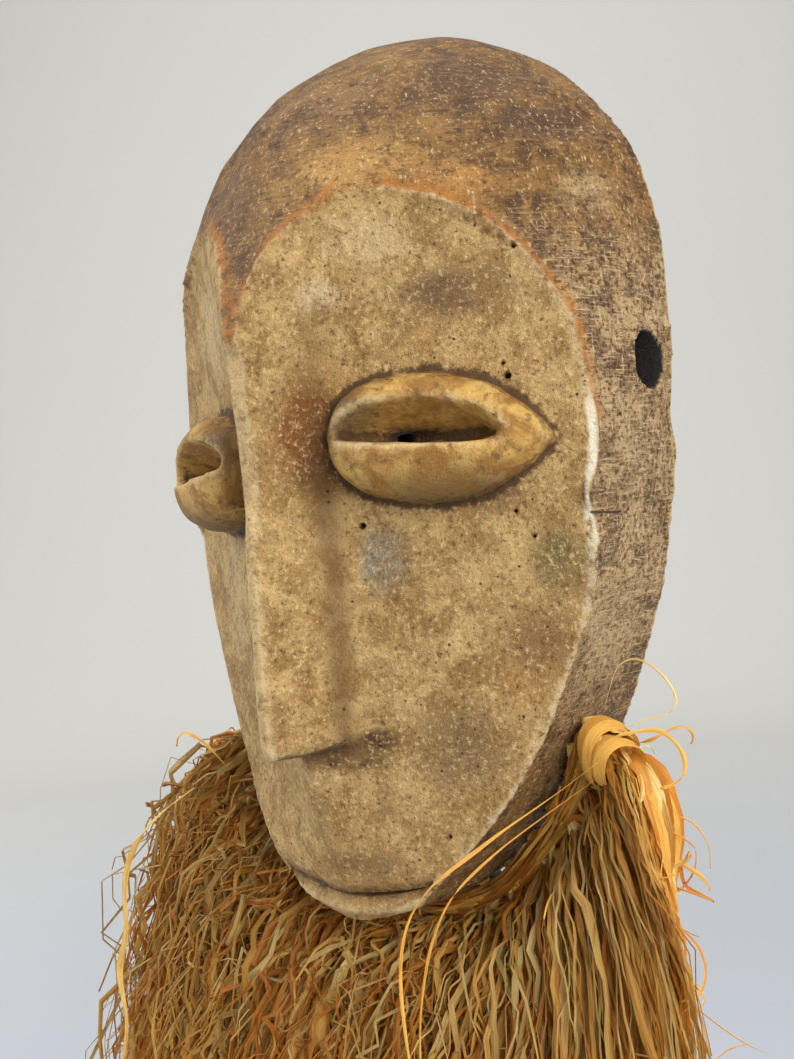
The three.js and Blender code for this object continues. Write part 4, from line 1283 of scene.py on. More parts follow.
def wood_material():
    m = Material("carved_wood")
    p = WoodPattern(m)
    skin, bark, ochre = skin_colour(m, p), bark_colour(m, p), lid_colour(m, p)
    colour = m.mix(bark, skin, p.face)
    # Painted highlight on worn wood along the brow's edge on the sides of the face
    worn = m.math("MULTIPLY", m.ramp(p.edge, 2.8, 1.0), m.ramp(p.mottle, 0.36, 0.5))
    colour = m.mix(colour, srgb(240, 232, 208), m.math("MULTIPLY", worn, p.ridge))
    colour = m.mix(colour, ochre, m.math("MULTIPLY", p.lid, 0.9))
    colour = add_dirt_shade_and_highlights(m, p, colour)
    height = m.math("ADD", m.math("MULTIPLY", p.fine, 0.6), m.math("MULTIPLY", p.grit, 0.4))
    height = m.math("ADD", height, m.math("MULTIPLY", p.mottle, 0.8))
    outside = m.math("SUBTRACT", 1.0, p.face)
    height = m.math("ADD", height, m.math("MULTIPLY", m.math("MULTIPLY", p.across, outside), 0.5))
    height = m.math("SUBTRACT", height, m.math("MULTIPLY", p.pitted, 0.8))
    normal = m.bump(height, 0.0017)
    roughness = m.ramp(p.fine, 0.3, 0.7, 0.5, 0.72)
    m.shader.inputs["Specular IOR Level"].default_value = 0.35
    return m.finish(colour, roughness, normal)


def raffia_material():
    m = Material("raffia")
    tone, inner = m.attribute("tone"), m.attribute("inner")
    strand = m.node("ShaderNodeAttribute", attribute_name="strand").outputs["Vector"]
    streak = m.noise(1.0, stretch=(0.28, 11, 1), seed=1, detail=4, source=strand)
    blotch = m.noise(1.0, stretch=(2.5, 13, 1), seed=2, detail=3, source=strand)
    colour = m.mix(srgb(226, 140, 38), srgb(255, 206, 98), m.ramp(tone, 0.1, 0.6))
    colour = add_layers(m, colour, (
        ((255, 234, 156), tone, 0.6, 0.95, 0.95),
        ((206, 128, 36), streak, 0.5, 0.66, 0.6),
        ((252, 208, 112), streak, 0.45, 0.3, 0.6),
        ((156, 90, 26), blotch, 0.6, 0.76, 0.3),
    ))
    # Painted shade on strands deep in the beard, between locks and under the jaw
    colour = m.mix(colour, srgb(104, 54, 10), m.math("MULTIPLY", inner, 0.5))
    normal = m.bump(streak, 0.0004)
    m.shader.inputs["Specular IOR Level"].default_value = 0.4
    # Dry leaf lets some of the light through
    through_leaf = m.node("ShaderNodeBsdfTranslucent")
    m.feed(through_leaf.inputs["Color"], colour)
    both = m.node("ShaderNodeMixShader")
    both.inputs["Fac"].default_value = 0.35
    m.links.new(m.shader.outputs["BSDF"], both.inputs[1])
    m.links.new(through_leaf.outputs["BSDF"], both.inputs[2])
    output = next(n for n in m.nodes if n.type == "OUTPUT_MATERIAL")
    m.links.new(both.outputs["Shader"], output.inputs["Surface"])
    return m.finish(colour, 0.5, normal)


def steel_material():
    m = Material("stand_steel")
    fine = m.noise(0.5, seed=1, detail=2)
    patch = m.noise(9, seed=2, detail=4)
    colour = m.mix(srgb(22, 23, 25), srgb(34, 35, 38), m.ramp(patch, 0.4, 0.6))
    m.shader.inputs["Metallic"].default_value = 0.3
    return m.finish(colour, m.ramp(patch, 0.3, 0.7, 0.34, 0.5), m.bump(fine, 0.00008))


def shade(obj, material):
    obj.data.materials.clear()
    obj.data.materials.append(material)
    for polygon in obj.data.polygons:
        polygon.use_smooth = True
    return obj


# Raffia strands

def triangle_wave(phase):
    """Straight runs between sharp turns, from -1 to 1."""
    return 2 * np.abs(2 * (phase - np.floor(phase + 0.5))) - 1


def unit(vectors):
    return vectors / np.maximum(np.linalg.norm(vectors, axis=-1, keepdims=True), 1e-9)


STRAY_SHARE = 0.3


def keep_near(points):
    """Draws strands that stray past the part's own box most of the way back to it."""
    low, high = (np.array(corner) for corner in CAD_BOX)
    held = np.clip(points, low, high)
    return held + STRAY_SHARE * (points - held)


class Strands:
    """Collects folded strips and fine fibres into one mesh of thin closed bodies."""

    def __init__(self, seed):
        self.rng = np.random.default_rng(seed)
        self.points, self.faces, self.tones, self.places, self.inner = [], [], [], [], []
        self.total = 0

    def add(self, paths, across, widths, fold, thickness, tones, inner=None):
        """Strips along paths (strands, steps, 3), as wide as widths (strands, steps)."""
        count, steps = paths.shape[:2]
        tangent = unit(np.gradient(paths, axis=1))
        across = unit(across - (across * tangent).sum(-1, keepdims=True) * tangent)
        rise = np.cross(tangent, across)
        half = widths[..., None] / 2
        lift = widths[..., None] * fold[:, None, None]
        skin = np.minimum(thickness, widths[..., None] * 0.5)
        ring = np.stack([
            paths - across * half,
            paths + rise * (lift + skin / 2),
            paths + across * half,
            paths + rise * (lift - skin / 2),
        ], 2)
        self.points.append(ring.reshape(-1, 3))
        base = np.arange(count)[:, None, None] * steps * 4 + np.arange(steps - 1)[:, None] * 4
        k = np.arange(4)
        a, b = base + k, base + (k + 1) % 4
        quads = np.stack([a, b, b + 4, a + 4], -1).reshape(-1, 4)
        start = np.arange(count) * steps * 4
        end = start + (steps - 1) * 4
        first = np.stack([start + 3, start + 2, start + 1, start], 1)
        last = np.stack([end, end + 1, end + 2, end + 3], 1)
        self.faces.append(np.vstack([quads, first, last]) + self.total)
        self.tones.append(np.repeat(tones, steps * 4))
        # inner: how much painted shade each strand gets in the raffia material
        inner = np.zeros(count) if inner is None else inner
        self.inner.append(np.repeat(inner, steps * 4))
        run = np.linalg.norm(np.diff(paths, axis=1), axis=2)
        run = np.concatenate([np.zeros((count, 1)), np.cumsum(run, axis=1)], 1)
        place = np.zeros((count, steps, 4, 3))
        place[..., 0] = widths[..., None] * np.array([-0.5, 0, 0.5, 0])
        place[..., 1] = run[..., None]
        place += self.rng.uniform(0, 400, (count, 1, 1, 3))
        self.places.append(place.reshape(-1, 3))
        self.total += count * steps * 4

    def build(self, name, material):
        points, faces = keep_near(to_row(np.vstack(self.points))), np.vstack(self.faces)
        mesh = bpy.data.meshes.new(name)
        mesh.vertices.add(len(points))
        mesh.vertices.foreach_set("co", points.ravel())
        mesh.loops.add(faces.size)
        mesh.loops.foreach_set("vertex_index", faces.ravel())
        mesh.polygons.add(len(faces))
        mesh.polygons.foreach_set("loop_start", np.arange(len(faces)) * 4)
        mesh.update(calc_edges=True)
        mesh.validate()
        set_attribute(mesh, "tone", np.concatenate(self.tones))
        set_attribute(mesh, "inner", np.concatenate(self.inner))
        strand = mesh.attributes.new("strand", "FLOAT_VECTOR", "POINT")
        strand.data.foreach_set("vector", np.vstack(self.places).ravel().astype(np.float32))
        ends = np.empty(len(mesh.edges) * 2, np.int64)
        mesh.edges.foreach_get("vertices", ends)
        ends = ends.reshape(-1, 2)
        lengthwise = (ends[:, 0] % 4 == ends[:, 1] % 4) & (ends[:, 0] // 4 != ends[:, 1] // 4)
        sharp = mesh.attributes.new("sharp_edge", "BOOLEAN", "EDGE")
        sharp.data.foreach_set("value", lengthwise)
        obj = bpy.data.objects.new(name, mesh)
        bpy.context.scene.collection.objects.link(obj)
        return shade(obj, material)


def push_out(points):
    """Moves points that would lie in the wood out to its surface."""
    x, y, z = points[..., 0], points[..., 1], points[..., 2]
    inside = (z > 0.5) & (z < 120) & (y < 1)
    zz = np.clip(z, 1.0, MASK_HEIGHT - 1)
    power = squareness(zz / MASK_HEIGHT)
    half, deep = half_width_at(zz) + 1.2, depth_at(zz) + 1.2
    forward = np.maximum(-y, 0)
    reach = ((np.abs(x) / half) ** power + (forward / deep) ** power) ** (1 / power)
    scale = np.where(inside & (reach < 1), 1 / np.maximum(reach, 0.3), 1.0)
    moved = points.copy()
    moved[..., 0] *= scale
    moved[..., 1] = np.where(forward > 0, y * scale, y)
    return moved


def wander(rng, count, steps, lengths, waves):
    """Sideways offsets along each strand: sums of bent waves, growing away from the knot."""
    t = np.linspace(0, 1, steps)
    run = lengths[:, None] * t
    offset = np.zeros((count, steps, 3))
    for period, reach, angular in waves:
        for axis in range(3):
            wave_length = period * rng.uniform(0.7, 1.5, (count, 1))
            phase = run / wave_length + rng.uniform(0, 1, (count, 1))
            smooth_part = np.sin(2 * np.pi * phase)
            wave = mix(smooth_part, triangle_wave(phase), angular)
            offset[..., axis] += wave * reach * rng.uniform(0.3, 1.3, (count, 1))
    grow = np.minimum(t * 3.0, 1.0)[None, :, None]
    return offset * grow


THREAD_STEPS = 3
# Each bundle parts into a few locks
LOCKS = 3
LOCK_PLACES = np.array([-1.05, 0.05, 1.0])
LOCK_SPREAD = 0.24


def hanging_paths(rng, share, count, steps, spread, fall_range, depth_range, waves):
    """Strands that come out of a tie hole, pass the knot and hang in the beard's thickness."""
    lock = rng.integers(0, LOCKS, count)
    end = share + spread * (LOCK_PLACES[lock] + LOCK_SPREAD * rng.normal(0, 1, count))
    low = rng.uniform(*fall_range[0], count)
    high = rng.uniform(*fall_range[1], count)
    t = np.linspace(0, 1, steps - THREAD_STEPS)[None, :]
    fall = low[:, None] + (high - low)[:, None] * t
    open_up = np.clip(fall * 3.2, 0, 1) ** 0.8
    place = share + (end[:, None] - share) * open_up
    place = np.clip(place, 0.004, 0.996)
    bulge = 1 - 0.5 * np.minimum(np.abs(end - share - spread * LOCK_PLACES[lock])
                                 / (spread * LOCK_SPREAD * 1.6), 1)
    depth = rng.uniform(*depth_range, count)
    depth = np.where(depth > 0, depth * bulge, depth)
    away = depth[:, None] * BEARD_THICKNESS / 2 * np.minimum(0.2 + fall * 2.6, 1.0)
    middle = hair_point(place, fall)
    normal = hair_normal(place, np.clip(fall, 0.02, 0.98))
    lengths = np.linalg.norm(np.diff(middle, axis=1), axis=2).sum(1)
    paths = middle + normal * away[..., None]
    paths += wander(rng, count, steps - THREAD_STEPS, lengths, waves)
    step = 0.01
    along = unit(hair_point(place + step, fall) - hair_point(place - step, fall))
    paths = push_out(paths)

    # The stretch through the hole and the knot
    point, out = along_line(JAW, share), along_line(JAW_OUT, share)
    tangent = along_line(JAW_TANGENT, share)
    turn = rng.uniform(0, 2 * np.pi, count)
    sideways = np.cos(turn)[:, None] * tangent + np.sin(turn)[:, None] * np.array([0, 1.0, 0])
    thread = []
    for run, reach in ((-8.0, 1.6), (1.0, 1.9), (6.0, 4.2)):
        spot = point + out * run + sideways * (reach * np.sqrt(rng.uniform(0, 1, count)))[:, None]
        thread.append(spot)
    thread = np.stack(thread, 1)
    late = low > 0.05
    thread[late] = paths[late][:, :1] + (paths[late][:, :1] - paths[late][:, 1:2]) * np.array(
        [0.3, 0.2, 0.1])[None, :, None]
    paths = np.concatenate([thread, paths], 1)
    along = np.concatenate([np.repeat(along[:, :1], THREAD_STEPS, 1), along], 1)
    normal = np.concatenate([np.repeat(normal[:, :1], THREAD_STEPS, 1), normal], 1)
    # Painted shade: strands deep in the beard and in the gaps between locks are marked darker
    gap = np.abs(end - share - spread * LOCK_PLACES[lock]) / (spread * LOCK_SPREAD * 2.2)
    inner = np.clip(0.1 - depth + 0.5 * (gap > 1), 0, 1)
    return paths, along, normal, inner


def twisted(rng, along, normal, turns):
    count, steps = along.shape[:2]
    t = np.linspace(0, 1, steps)[None, :]
    angle = rng.normal(0, 0.5, (count, 1)) + rng.normal(0, turns, (count, 1)) * t * 2 * np.pi
    angle += 0.5 * np.sin(2 * np.pi * (t * rng.uniform(0.5, 2.5, (count, 1))
                                       + rng.uniform(0, 1, (count, 1))))
    return along * np.cos(angle)[..., None] + normal * np.sin(angle)[..., None]


def tapered(rng, widths, steps, tip):
    t = np.linspace(0, 1, steps)[None, :]
    neck = 0.22 + 0.78 * np.clip((t - 0.1) * 7, 0, 1)
    end = mix(1.0, tip, np.clip((t - 0.7) / 0.3, 0, 1))
    ripple = 1 + 0.18 * np.sin(2 * np.pi * (t * rng.uniform(1, 4, (len(widths), 1))
                                            + rng.uniform(0, 1, (len(widths), 1))))
    return widths[:, None] * neck * end * ripple


WIDE_STRIPS = 84
MEDIUM_STRIPS = 66
FIBRES = 44
CURLS = 44
COVER_STRIPS = 34
BINDING_STRANDS = 22


def make_tuft(index, material):
    strands = Strands(100 + index)
    rng = strands.rng
    share = (index + 0.5) / TUFT_COUNT
    spread = 0.42 / TUFT_COUNT
    # The near side hangs straight and broad, the far side is frizzy and fine
    straight = float(smooth(0.5, 0.85, share))
    bent = mix(1.7, 0.4, straight)

    steps = 24
    paths, along, normal, inner = hanging_paths(
        rng, share, WIDE_STRIPS, steps, spread, ((0, 0.02), (0.6, 1.0)), (-0.2, 1.15),
        ((90, 4.0 * bent, 0.3), (38, 1.8 * bent, 0.8)))
    widths = tapered(rng, rng.uniform(2.4, mix(6.4, 10.5, straight), WIDE_STRIPS), steps, 0.35)
    strands.add(paths, twisted(rng, along, normal, 0.3), widths,
                rng.uniform(0.05, 0.28, WIDE_STRIPS), 0.3, rng.uniform(0.2, 1, WIDE_STRIPS), inner)

    steps = 24
    paths, along, normal, inner = hanging_paths(
        rng, share, MEDIUM_STRIPS, steps, spread * 1.15, ((0, 0.04), (0.5, 1.0)), (-1.0, 1.0),
        ((70, 5.5 * bent, 0.4), (26, 2.4 * bent, 0.8), (11, 0.9 * bent, 0.6)))
    widths = tapered(rng, rng.uniform(0.9, 2.6, MEDIUM_STRIPS), steps, 0.3)
    across = twisted(rng, along, normal, 0.7)
    strands.add(paths, across, widths, rng.uniform(0.1, 0.4, MEDIUM_STRIPS),
                0.3, rng.uniform(0, 0.95, MEDIUM_STRIPS), inner)

    steps = 22
    paths, along, normal, inner = hanging_paths(
        rng, share, FIBRES, steps, spread * 1.3, ((0.0, 0.3), (0.4, 1.0)), (-1.1, 1.05),
        ((60, 7.0 * bent, 0.3), (19, 3.2 * bent, 0.7), (8, 1.3 * bent, 0.5)))
    widths = tapered(rng, rng.uniform(0.45, 0.9, FIBRES), steps, 0.5)
    strands.add(paths, twisted(rng, along, normal, 1), widths,
                np.full(FIBRES, 0.3), 0.35, rng.uniform(0.1, 1, FIBRES), inner)

    add_curls(strands, share, spread, mix(1.3, 0.7, straight))
    add_binding(strands, share)
    add_cover(strands, share, straight)
    add_knot(strands, share)
    for tuft, width, tone, points in STRAYS:
        if tuft == index + 1:
            add_stray(strands, width, tone, points)
    tuft = strands.build(f"raffia_lock_{index + 1:02d}", material)
    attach(tuft, "root")
    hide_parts(f"raffia_tuft_{index + 1:02d}")
    return tuft


def add_curls(strands, share, spread, tight):
    """Short frizzy fibres that curl out of the beard's surface."""
    rng = strands.rng
    steps = 20
    place = share + spread * 1.2 * rng.normal(0, 1, CURLS)
    place = np.clip(place, 0.004, 0.996)
    fall = rng.uniform(0.02, 0.95, CURLS)
    depth = rng.uniform(0.2, 1.0, CURLS) * BEARD_THICKNESS / 2
    start = hair_point(place, fall) + hair_normal(place, fall) * depth[:, None]
    down = unit(hair_point(place, fall + 0.02) - hair_point(place, fall - 0.02))
    heading = unit(down + rng.normal(0, 0.8, (CURLS, 3)))
    axis = unit(rng.normal(0, 1, (CURLS, 3)))
    rate = tight * rng.uniform(0.12, 0.6, (CURLS, 1)) * rng.choice([-1, 1], (CURLS, 1))
    stride = rng.uniform(1.0, 2.4, (CURLS, 1))
    paths = np.zeros((CURLS, steps, 3))
    paths[:, 0] = start
    for i in range(1, steps):
        axis = unit(axis + rng.normal(0, 0.25, (CURLS, 3)))
        heading = unit(heading + np.cross(axis, heading) * rate + down * 0.05)
        paths[:, i] = paths[:, i - 1] + heading * stride
    across = unit(rng.normal(0, 1, (CURLS, 1, 3))) + np.zeros((1, steps, 1))
    widths = tapered(rng, rng.uniform(0.5, 1.6, CURLS), steps, 0.4)
    strands.add(push_out(paths), across, widths, np.full(CURLS, 0.3), 0.3,
                rng.uniform(0.2, 1, CURLS))


def add_binding(strands, share):
    """Strands laid along the jaw that tie the bundles to each other."""
    rng = strands.rng
    count, steps = BINDING_STRANDS, 20
    half = 1.3 / TUFT_COUNT
    t = np.linspace(0, 1, steps)[None, :]
    start = share - half * rng.uniform(0.7, 1.1, (count, 1))
    end = share + half * rng.uniform(0.7, 1.1, (count, 1))
    place = np.clip(start + (end - start) * t, 0.002, 0.998)
    point, out = along_line(JAW, place), along_line(JAW_OUT, place)
    reach = rng.uniform(2.0, 10.0, (count, 1, 1))
    reach = reach + rng.normal(0, 0.8, (count, 1, 1)) * t[..., None]
    back = rng.uniform(-9, 5, (count, 1)) + rng.normal(0, 7, (count, 1)) * (t - 0.5)
    paths = point + out * reach + back[..., None] * np.array([0, 1.0, 0])
    across = unit(rng.normal(0, 1, (count, 1, 3))) + np.zeros((1, steps, 1))
    widths = tapered(rng, rng.uniform(1.2, 3.2, count), steps, 0.3)
    # Low tones and high inner values: painted shade under the jaw's edge
    strands.add(push_out(paths), across, widths, rng.uniform(0.1, 0.3, count), 0.4,
                rng.uniform(0.0, 0.6, count), rng.uniform(0.4, 1.0, count))


def add_cover(strands, share, straight):
    """Strips that spring up from the knot and fall over it and the jaw's edge."""
    rng = strands.rng
    steps = 20
    count = 2 * COVER_STRIPS if is_near_end(share) else COVER_STRIPS
    point, out = along_line(JAW, share), along_line(JAW_OUT, share)
    place = np.clip(share + rng.normal(0, 0.045, count), 0.004, 0.996)
    lift = 1 - float(smooth(0.45, 1, -out[2]))
    jitter = rng.normal(0, 2.2, (count, 3))
    start = point + out * rng.uniform(4, 9, (count, 1)) + jitter
    rise = np.stack([
        rng.normal(0, 4, count),
        -rng.uniform(2, 14, count),
        lift * rng.uniform(2, 15, count) - (1 - lift) * 4,
    ], 1)
    over = start + out * rng.uniform(2, 12, (count, 1)) + rise
    high = rng.uniform(0.08, 0.22, count)
    low = high + rng.uniform(0.15, 0.5, count)
    reach = BEARD_THICKNESS / 2 * rng.uniform(0.7, 1.35, (count, 1))
    third = hair_point(place, high) + hair_normal(place, high) * reach
    last = hair_point(place, low) + hair_normal(place, low) * reach
    t = np.linspace(0, 1, steps)[None, :, None]
    paths = start[:, None] * (1 - t) ** 3 + 3 * over[:, None] * t * (1 - t) ** 2
    paths += 3 * third[:, None] * t * t * (1 - t) + last[:, None] * t ** 3
    lengths = np.linalg.norm(np.diff(paths, axis=1), axis=2).sum(1)
    paths += wander(rng, count, steps, lengths, ((30, 2.0, 0.6), (12, 0.8, 0.8)))
    across = unit(rng.normal(0, 1, (count, 1, 3))) + np.zeros((1, steps, 1))
    widths = tapered(rng, rng.uniform(0.7, mix(2.6, 6.0, straight), count), steps, 0.4)
    strands.add(push_out(paths), across, widths, rng.uniform(0.08, 0.35, count), 0.3,
                rng.uniform(0.2, 1, count))


KNOT_WRAPS = 5
KNOT_STEPS = 30
NEAR_KNOT_RADIUS = 10.0
NEAR_KNOT_LENGTH = 24.0


def is_near_end(share):
    """True for the bundle nearest the viewer, which is tied in one big knot."""
    return share > (TUFT_COUNT - 1) / TUFT_COUNT


def add_knot(strands, share):
    """Broad strips wound round the bundle where it leaves the wood."""
    rng = strands.rng
    point, out = along_line(JAW, share), along_line(JAW_OUT, share)
    big = is_near_end(share)
    lean = unit(out + np.array([0.1, -0.5, 0.15])) if big else out
    radius = NEAR_KNOT_RADIUS if big else KNOT_RADIUS * rng.uniform(0.85, 1.1)
    length = NEAR_KNOT_LENGTH if big else KNOT_LENGTH + rng.uniform(0, 3)
    side = unit(np.cross(lean, [0.0, 1.0, 0.3]))
    other = np.cross(lean, side)
    t = np.linspace(0, 1, KNOT_STEPS)
    paths, across = [], []
    for k in range(KNOT_WRAPS):
        middle = (k + 0.5) / KNOT_WRAPS * 0.8 + 0.1
        angle = rng.uniform(0, 2 * np.pi) + rng.uniform(0.75, 1.25) * 2 * np.pi * t
        slant = radius * rng.uniform(-0.55, 0.55) * np.sin(angle + rng.uniform(0, 2 * np.pi))
        run = np.clip(length * middle + slant, 1.0, length)
        swell = np.sin(np.pi * np.clip(run / length, 0.05, 0.88)) ** 0.5
        girth = radius * swell * rng.uniform(0.9, 1.08) * (1 + 0.06 * np.sin(3 * angle))
        ring = np.cos(angle)[:, None] * side + np.sin(angle)[:, None] * other
        base = point + lean * (run + 0.6)[:, None]
        paths.append(base + ring * girth[:, None])
        across.append(unit(lean + 0.35 * rng.normal(0, 1, 3)) + np.zeros((KNOT_STEPS, 1)))
    widths = rng.uniform(0.35, 0.75, (KNOT_WRAPS, 1)) * radius * (1 + 0.2 * np.sin(5 * t))
    strands.add(np.array(paths), np.array(across), widths, np.full(KNOT_WRAPS, 0.1), 0.5,
                rng.uniform(0.1, 0.9, KNOT_WRAPS))


# Single strands seen apart: bundle, width, tone, places in the mask's frame
STRAYS = (
    (13, 1.1, 0.5, ((88, -52, 56), (82, -72, 48), (74, -88, 41), (63, -94, 32), (51, -97, 24),
                     (43, -98, 14), (39, -99, 0), (40, -100, -20), (43, -100, -45))),
    (13, 0.8, 0.4, ((88, -48, 52), (80, -66, 44), (68, -84, 33), (55, -92, 20), (48, -95, 4),
                    (44, -97, -17), (43, -98, -40))),
    (14, 0.6, 0.95, ((84, -42, 70), (90, -43, 84), (97, -43, 87), (106, -42, 81), (111, -42, 72),
                     (106, -43, 68), (96, -44, 67), (90, -45, 61))),
    (14, 1.2, 0.6, ((86, -50, 60), (92, -50, 63), (98, -48, 64), (105, -46, 65), (111, -45, 60),
                    (113, -45, 54), (111, -46, 49), (105, -48, 47))),
    (3, 1.2, 0.7, ((-72, -60, 46), (-78, -62, 53), (-86, -62, 57), (-93, -61, 58), (-98, -60, 56),
                   (-99, -60, 52))),
    (3, 2.2, 0.8, ((-84, -66, 38), (-98, -74, 28), (-108, -79, 16), (-114, -80, 0),
                   (-113, -80, -19), (-122, -80, -33), (-118, -79, -52), (-124, -79, -72))),
)


def add_stray(strands, width, tone, points):
    rng = strands.rng
    steps = 34
    line = even_line(points, steps)
    for _ in range(4):
        line[1:-1] = mix(line[1:-1], (line[:-2] + line[2:]) / 2, 0.6)
    across = np.zeros((1, steps, 3)) + unit(np.array([0.55, 0.35, 0.75]))
    widths = tapered(rng, np.array([width]), steps, 0.6)
    strands.add(line[None], across, widths, np.array([0.15]), 0.35, np.array([tone]))


# Rod and foot

ROD_RADIUS = 4.0
ROD_TIP_RADIUS = 5.5
ROD_FORWARD = 25.0
ROD_BEND = (40.0, 112.0)
FOOT_BEVEL = 0.0008


def bezier(points, steps):
    t = np.linspace(0, 1, steps)[:, None]
    a, b, c, d = (np.array(p, float) for p in points)
    return a * (1 - t) ** 3 + 3 * b * t * (1 - t) ** 2 + 3 * c * t * t * (1 - t) + d * t ** 3


def make_rod(material):
    """A round rod that bends forward into the hollow and ends in a ball."""
    low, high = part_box("stand_rod")
    behind = high.y / MM - RIM_Y - ROD_RADIUS
    foot, tip = low.z / MM - CHIN_Z, high.z / MM - CHIN_Z - ROD_TIP_RADIUS
    start, end = ROD_BEND
    bend = bezier([
        (0, behind, start), (0, behind, mix(start, end, 0.45)),
        (0, -ROD_FORWARD, mix(start, end, 0.55)), (0, -ROD_FORWARD, end),
    ], 26)
    line = np.vstack([
        [[0, behind, z] for z in (foot, foot + 0.5, foot + 30, -60, 0, 30)], bend,
        [[0, -ROD_FORWARD, z] for z in np.linspace(end + 8, tip - 9, 12)],
    ])
    radii = np.full(len(line), ROD_RADIUS)
    radii[0] -= 0.5
    ball = np.linspace(-math.pi / 2 + 0.85, math.pi / 2 - 0.12, 14)
    caps = np.array([[0, -ROD_FORWARD, tip + ROD_TIP_RADIUS * math.sin(a)] for a in ball])
    line = np.vstack([line, caps])
    radii = np.concatenate([radii, ROD_TIP_RADIUS * np.cos(ball)])
    tangent = unit(np.gradient(line, axis=0))
    side = np.array([1.0, 0, 0])
    other = np.cross(tangent, side)
    angle = 2 * np.pi * np.arange(28) / 28
    rings = line[:, None] + radii[:, None, None] * (
        np.cos(angle)[None, :, None] * side + np.sin(angle)[None, :, None] * other[:, None])
    rod = shade(loft("rod_round", rings), material)
    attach(rod, "root")
    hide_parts("stand_rod")


def make_foot(material):
    low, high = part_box("stand_foot")
    corners = [(x, y, z) for x in (low.x, high.x) for y in (low.y, high.y) for z in (low.z, high.z)]
    faces = [(0, 1, 3, 2), (4, 6, 7, 5), (0, 4, 5, 1), (2, 3, 7, 6), (0, 2, 6, 4), (1, 5, 7, 3)]
    foot = mesh_object("foot_plate", corners, faces)
    bevel = foot.modifiers.new("bevel", "BEVEL")
    bevel.width = FOOT_BEVEL
    bevel.segments = 3
    graph = bpy.context.evaluated_depsgraph_get()
    plate = bpy.data.meshes.new_from_object(foot.evaluated_get(graph))
    foot.modifiers.clear()
    foot.data = plate
    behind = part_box("stand_rod")[1].y / MM - RIM_Y - ROD_RADIUS
    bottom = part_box("stand_rod")[0].z / MM - CHIN_Z - 0.4
    socket = rod_between("socket", (0, behind, bottom), (0, behind, bottom + 40),
                         ROD_RADIUS + 0.4, ROD_RADIUS + 0.4, 40)
    foot = combine(foot, socket, "DIFFERENCE")
    foot.data.materials.clear()
    foot.data.materials.append(material)
    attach(foot, "root")
    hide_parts("stand_foot")


# Stage and lights

# A paper sweep: where it starts, bends up and ends, in metres
STAGE_FRONT = -3.0
STAGE_BEND = 1.5
STAGE_RADIUS = 0.8
STAGE_TOP = 3.4
STAGE_HALF_WIDTH = 4.0
# Painted shade, darker paper near the object: from and to, in metres
STAGE_SHADE = (0.45, 2.0)


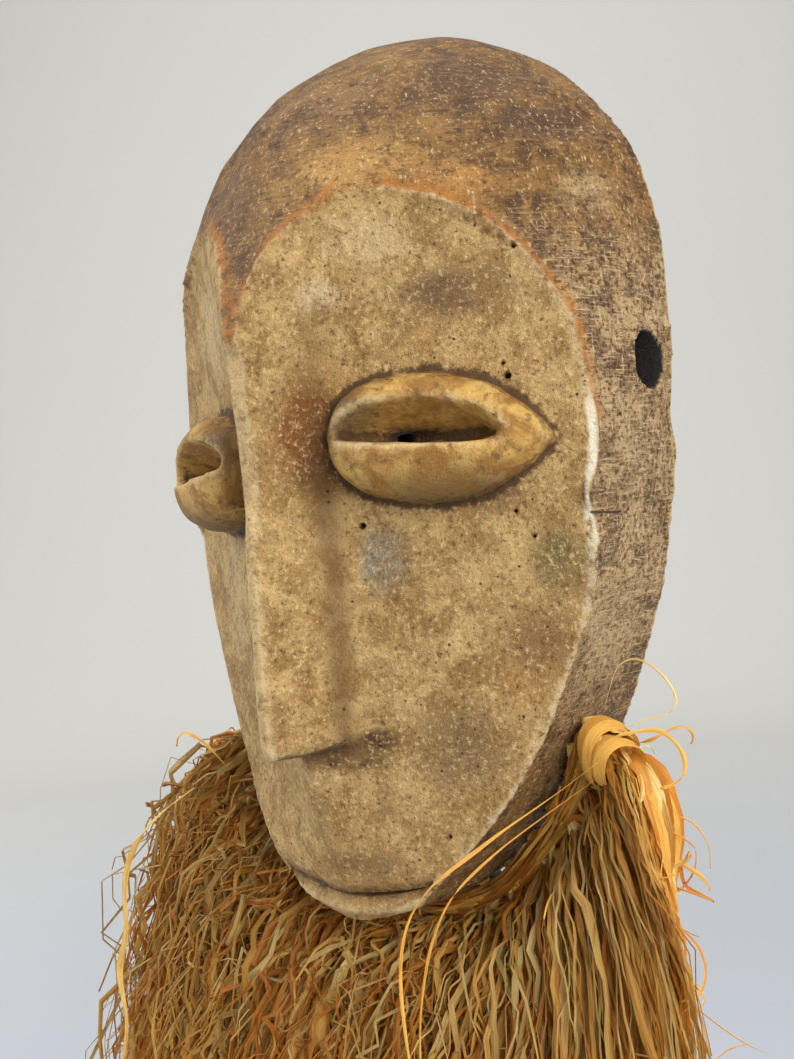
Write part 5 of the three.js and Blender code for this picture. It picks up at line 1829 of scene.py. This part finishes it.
def make_stage():
    """A floor that curves up into a pale wall behind, with painted shade on the paper near the
    object.
    """
    profile = [(STAGE_FRONT, 0.0)]
    profile += [
        (STAGE_BEND + STAGE_RADIUS * math.sin(a), STAGE_RADIUS * (1 - math.cos(a)))
        for a in np.linspace(0, math.pi / 2, 24)
    ]
    profile.append((STAGE_BEND + STAGE_RADIUS, STAGE_TOP))
    vertices = [(side * STAGE_HALF_WIDTH, y, z) for y, z in profile for side in (-1, 1)]
    faces = [(2 * i, 2 * i + 1, 2 * i + 3, 2 * i + 2) for i in range(len(profile) - 1)]
    stage = mesh_object("stage", vertices, faces)
    turn = Matrix.Rotation(math.radians(CAMERA_AZIMUTH), 4, "Z")
    stage.data.transform(turn)
    material = bpy.data.materials.new("stage")
    material.use_nodes = True
    nodes, links = material.node_tree.nodes, material.node_tree.links
    shader = nodes["Principled BSDF"]
    away = nodes.new("ShaderNodeVectorMath")
    away.operation = "LENGTH"
    links.new(nodes.new("ShaderNodeTexCoord").outputs["Object"], away.inputs[0])
    rise = nodes.new("ShaderNodeMapRange")
    rise.interpolation_type = "SMOOTHSTEP"
    rise.inputs["From Min"].default_value, rise.inputs["From Max"].default_value = STAGE_SHADE
    links.new(away.outputs["Value"], rise.inputs["Value"])
    tint = nodes.new("ShaderNodeMix")
    tint.data_type = "RGBA"
    tint.inputs[6].default_value = srgb(178, 183, 191)
    tint.inputs[7].default_value = srgb(222, 221, 217)
    links.new(rise.outputs[0], tint.inputs[0])
    links.new(tint.outputs[2], shader.inputs["Base Color"])
    shader.inputs["Roughness"].default_value = 0.9
    shader.inputs["Specular IOR Level"].default_value = 0.1
    stage.data.materials.append(material)
    for polygon in stage.data.polygons:
        polygon.use_smooth = True


MASK_MIDDLE = (0, -0.02, 0.38)
# Lights: name, place, size, watts, colour and what they face
LIGHTS = (
    ("left", (-1.3, -0.8, 1.2), (0.7, 0.7), 23, (1.0, 0.99, 0.96),
     MASK_MIDDLE),
    ("right", (1.55, -0.15, 1.1), (0.5, 0.8), 18, (1.0, 0.98, 0.95),
     MASK_MIDDLE),
    ("top", (0.1, -0.1, 1.9), (0.6, 0.6), 9, (1.0, 0.99, 0.97),
     MASK_MIDDLE),
    ("front", (1.2, -0.75, 0.75), (0.5, 0.5), 11, (1.0, 0.98, 0.94),
     MASK_MIDDLE),
    ("wall", (-0.3, 0.75, 2.2), (1.6, 0.8), 7.5, (0.98, 0.99, 1.0),
     (-1.1, 1.6, 0.6)),
)


def soft_light(name, place, size, power, colour, target):
    data = bpy.data.lights.new(name, "AREA")
    data.shape = "RECTANGLE"
    data.size, data.size_y = size
    data.energy = power
    data.color = colour
    light = bpy.data.objects.new(name, data)
    aim = Vector(target) - Vector(place)
    light.rotation_euler = aim.to_track_quat("-Z", "Y").to_euler()
    light.location = place
    bpy.context.scene.collection.objects.link(light)


def make_lights():
    world = bpy.data.worlds.new("world")
    world.use_nodes = True
    background = world.node_tree.nodes["Background"]
    background.inputs["Color"].default_value = (0.98, 0.98, 0.97, 1)
    background.inputs["Strength"].default_value = 0.37
    bpy.context.scene.world = world
    bpy.context.scene.view_settings.view_transform = "Standard"
    for light in LIGHTS:
        soft_light(*light)


make_camera()
wood = wood_material()
raffia = raffia_material()
steel = steel_material()

mask = remesh(carve_mask(), VOXEL)
wear_surface(mask)
paint_mask(mask)
combine(mask, make_mouth(), "DIFFERENCE")
for hole_tool in make_insect_holes():
    combine(mask, hole_tool, "DIFFERENCE")
shade(mask, wood)
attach(mask, "root")
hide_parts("mask")

for tuft_index in range(TUFT_COUNT):
    make_tuft(tuft_index, raffia)

make_rod(steel)
make_foot(steel)

make_stage()
make_lights()
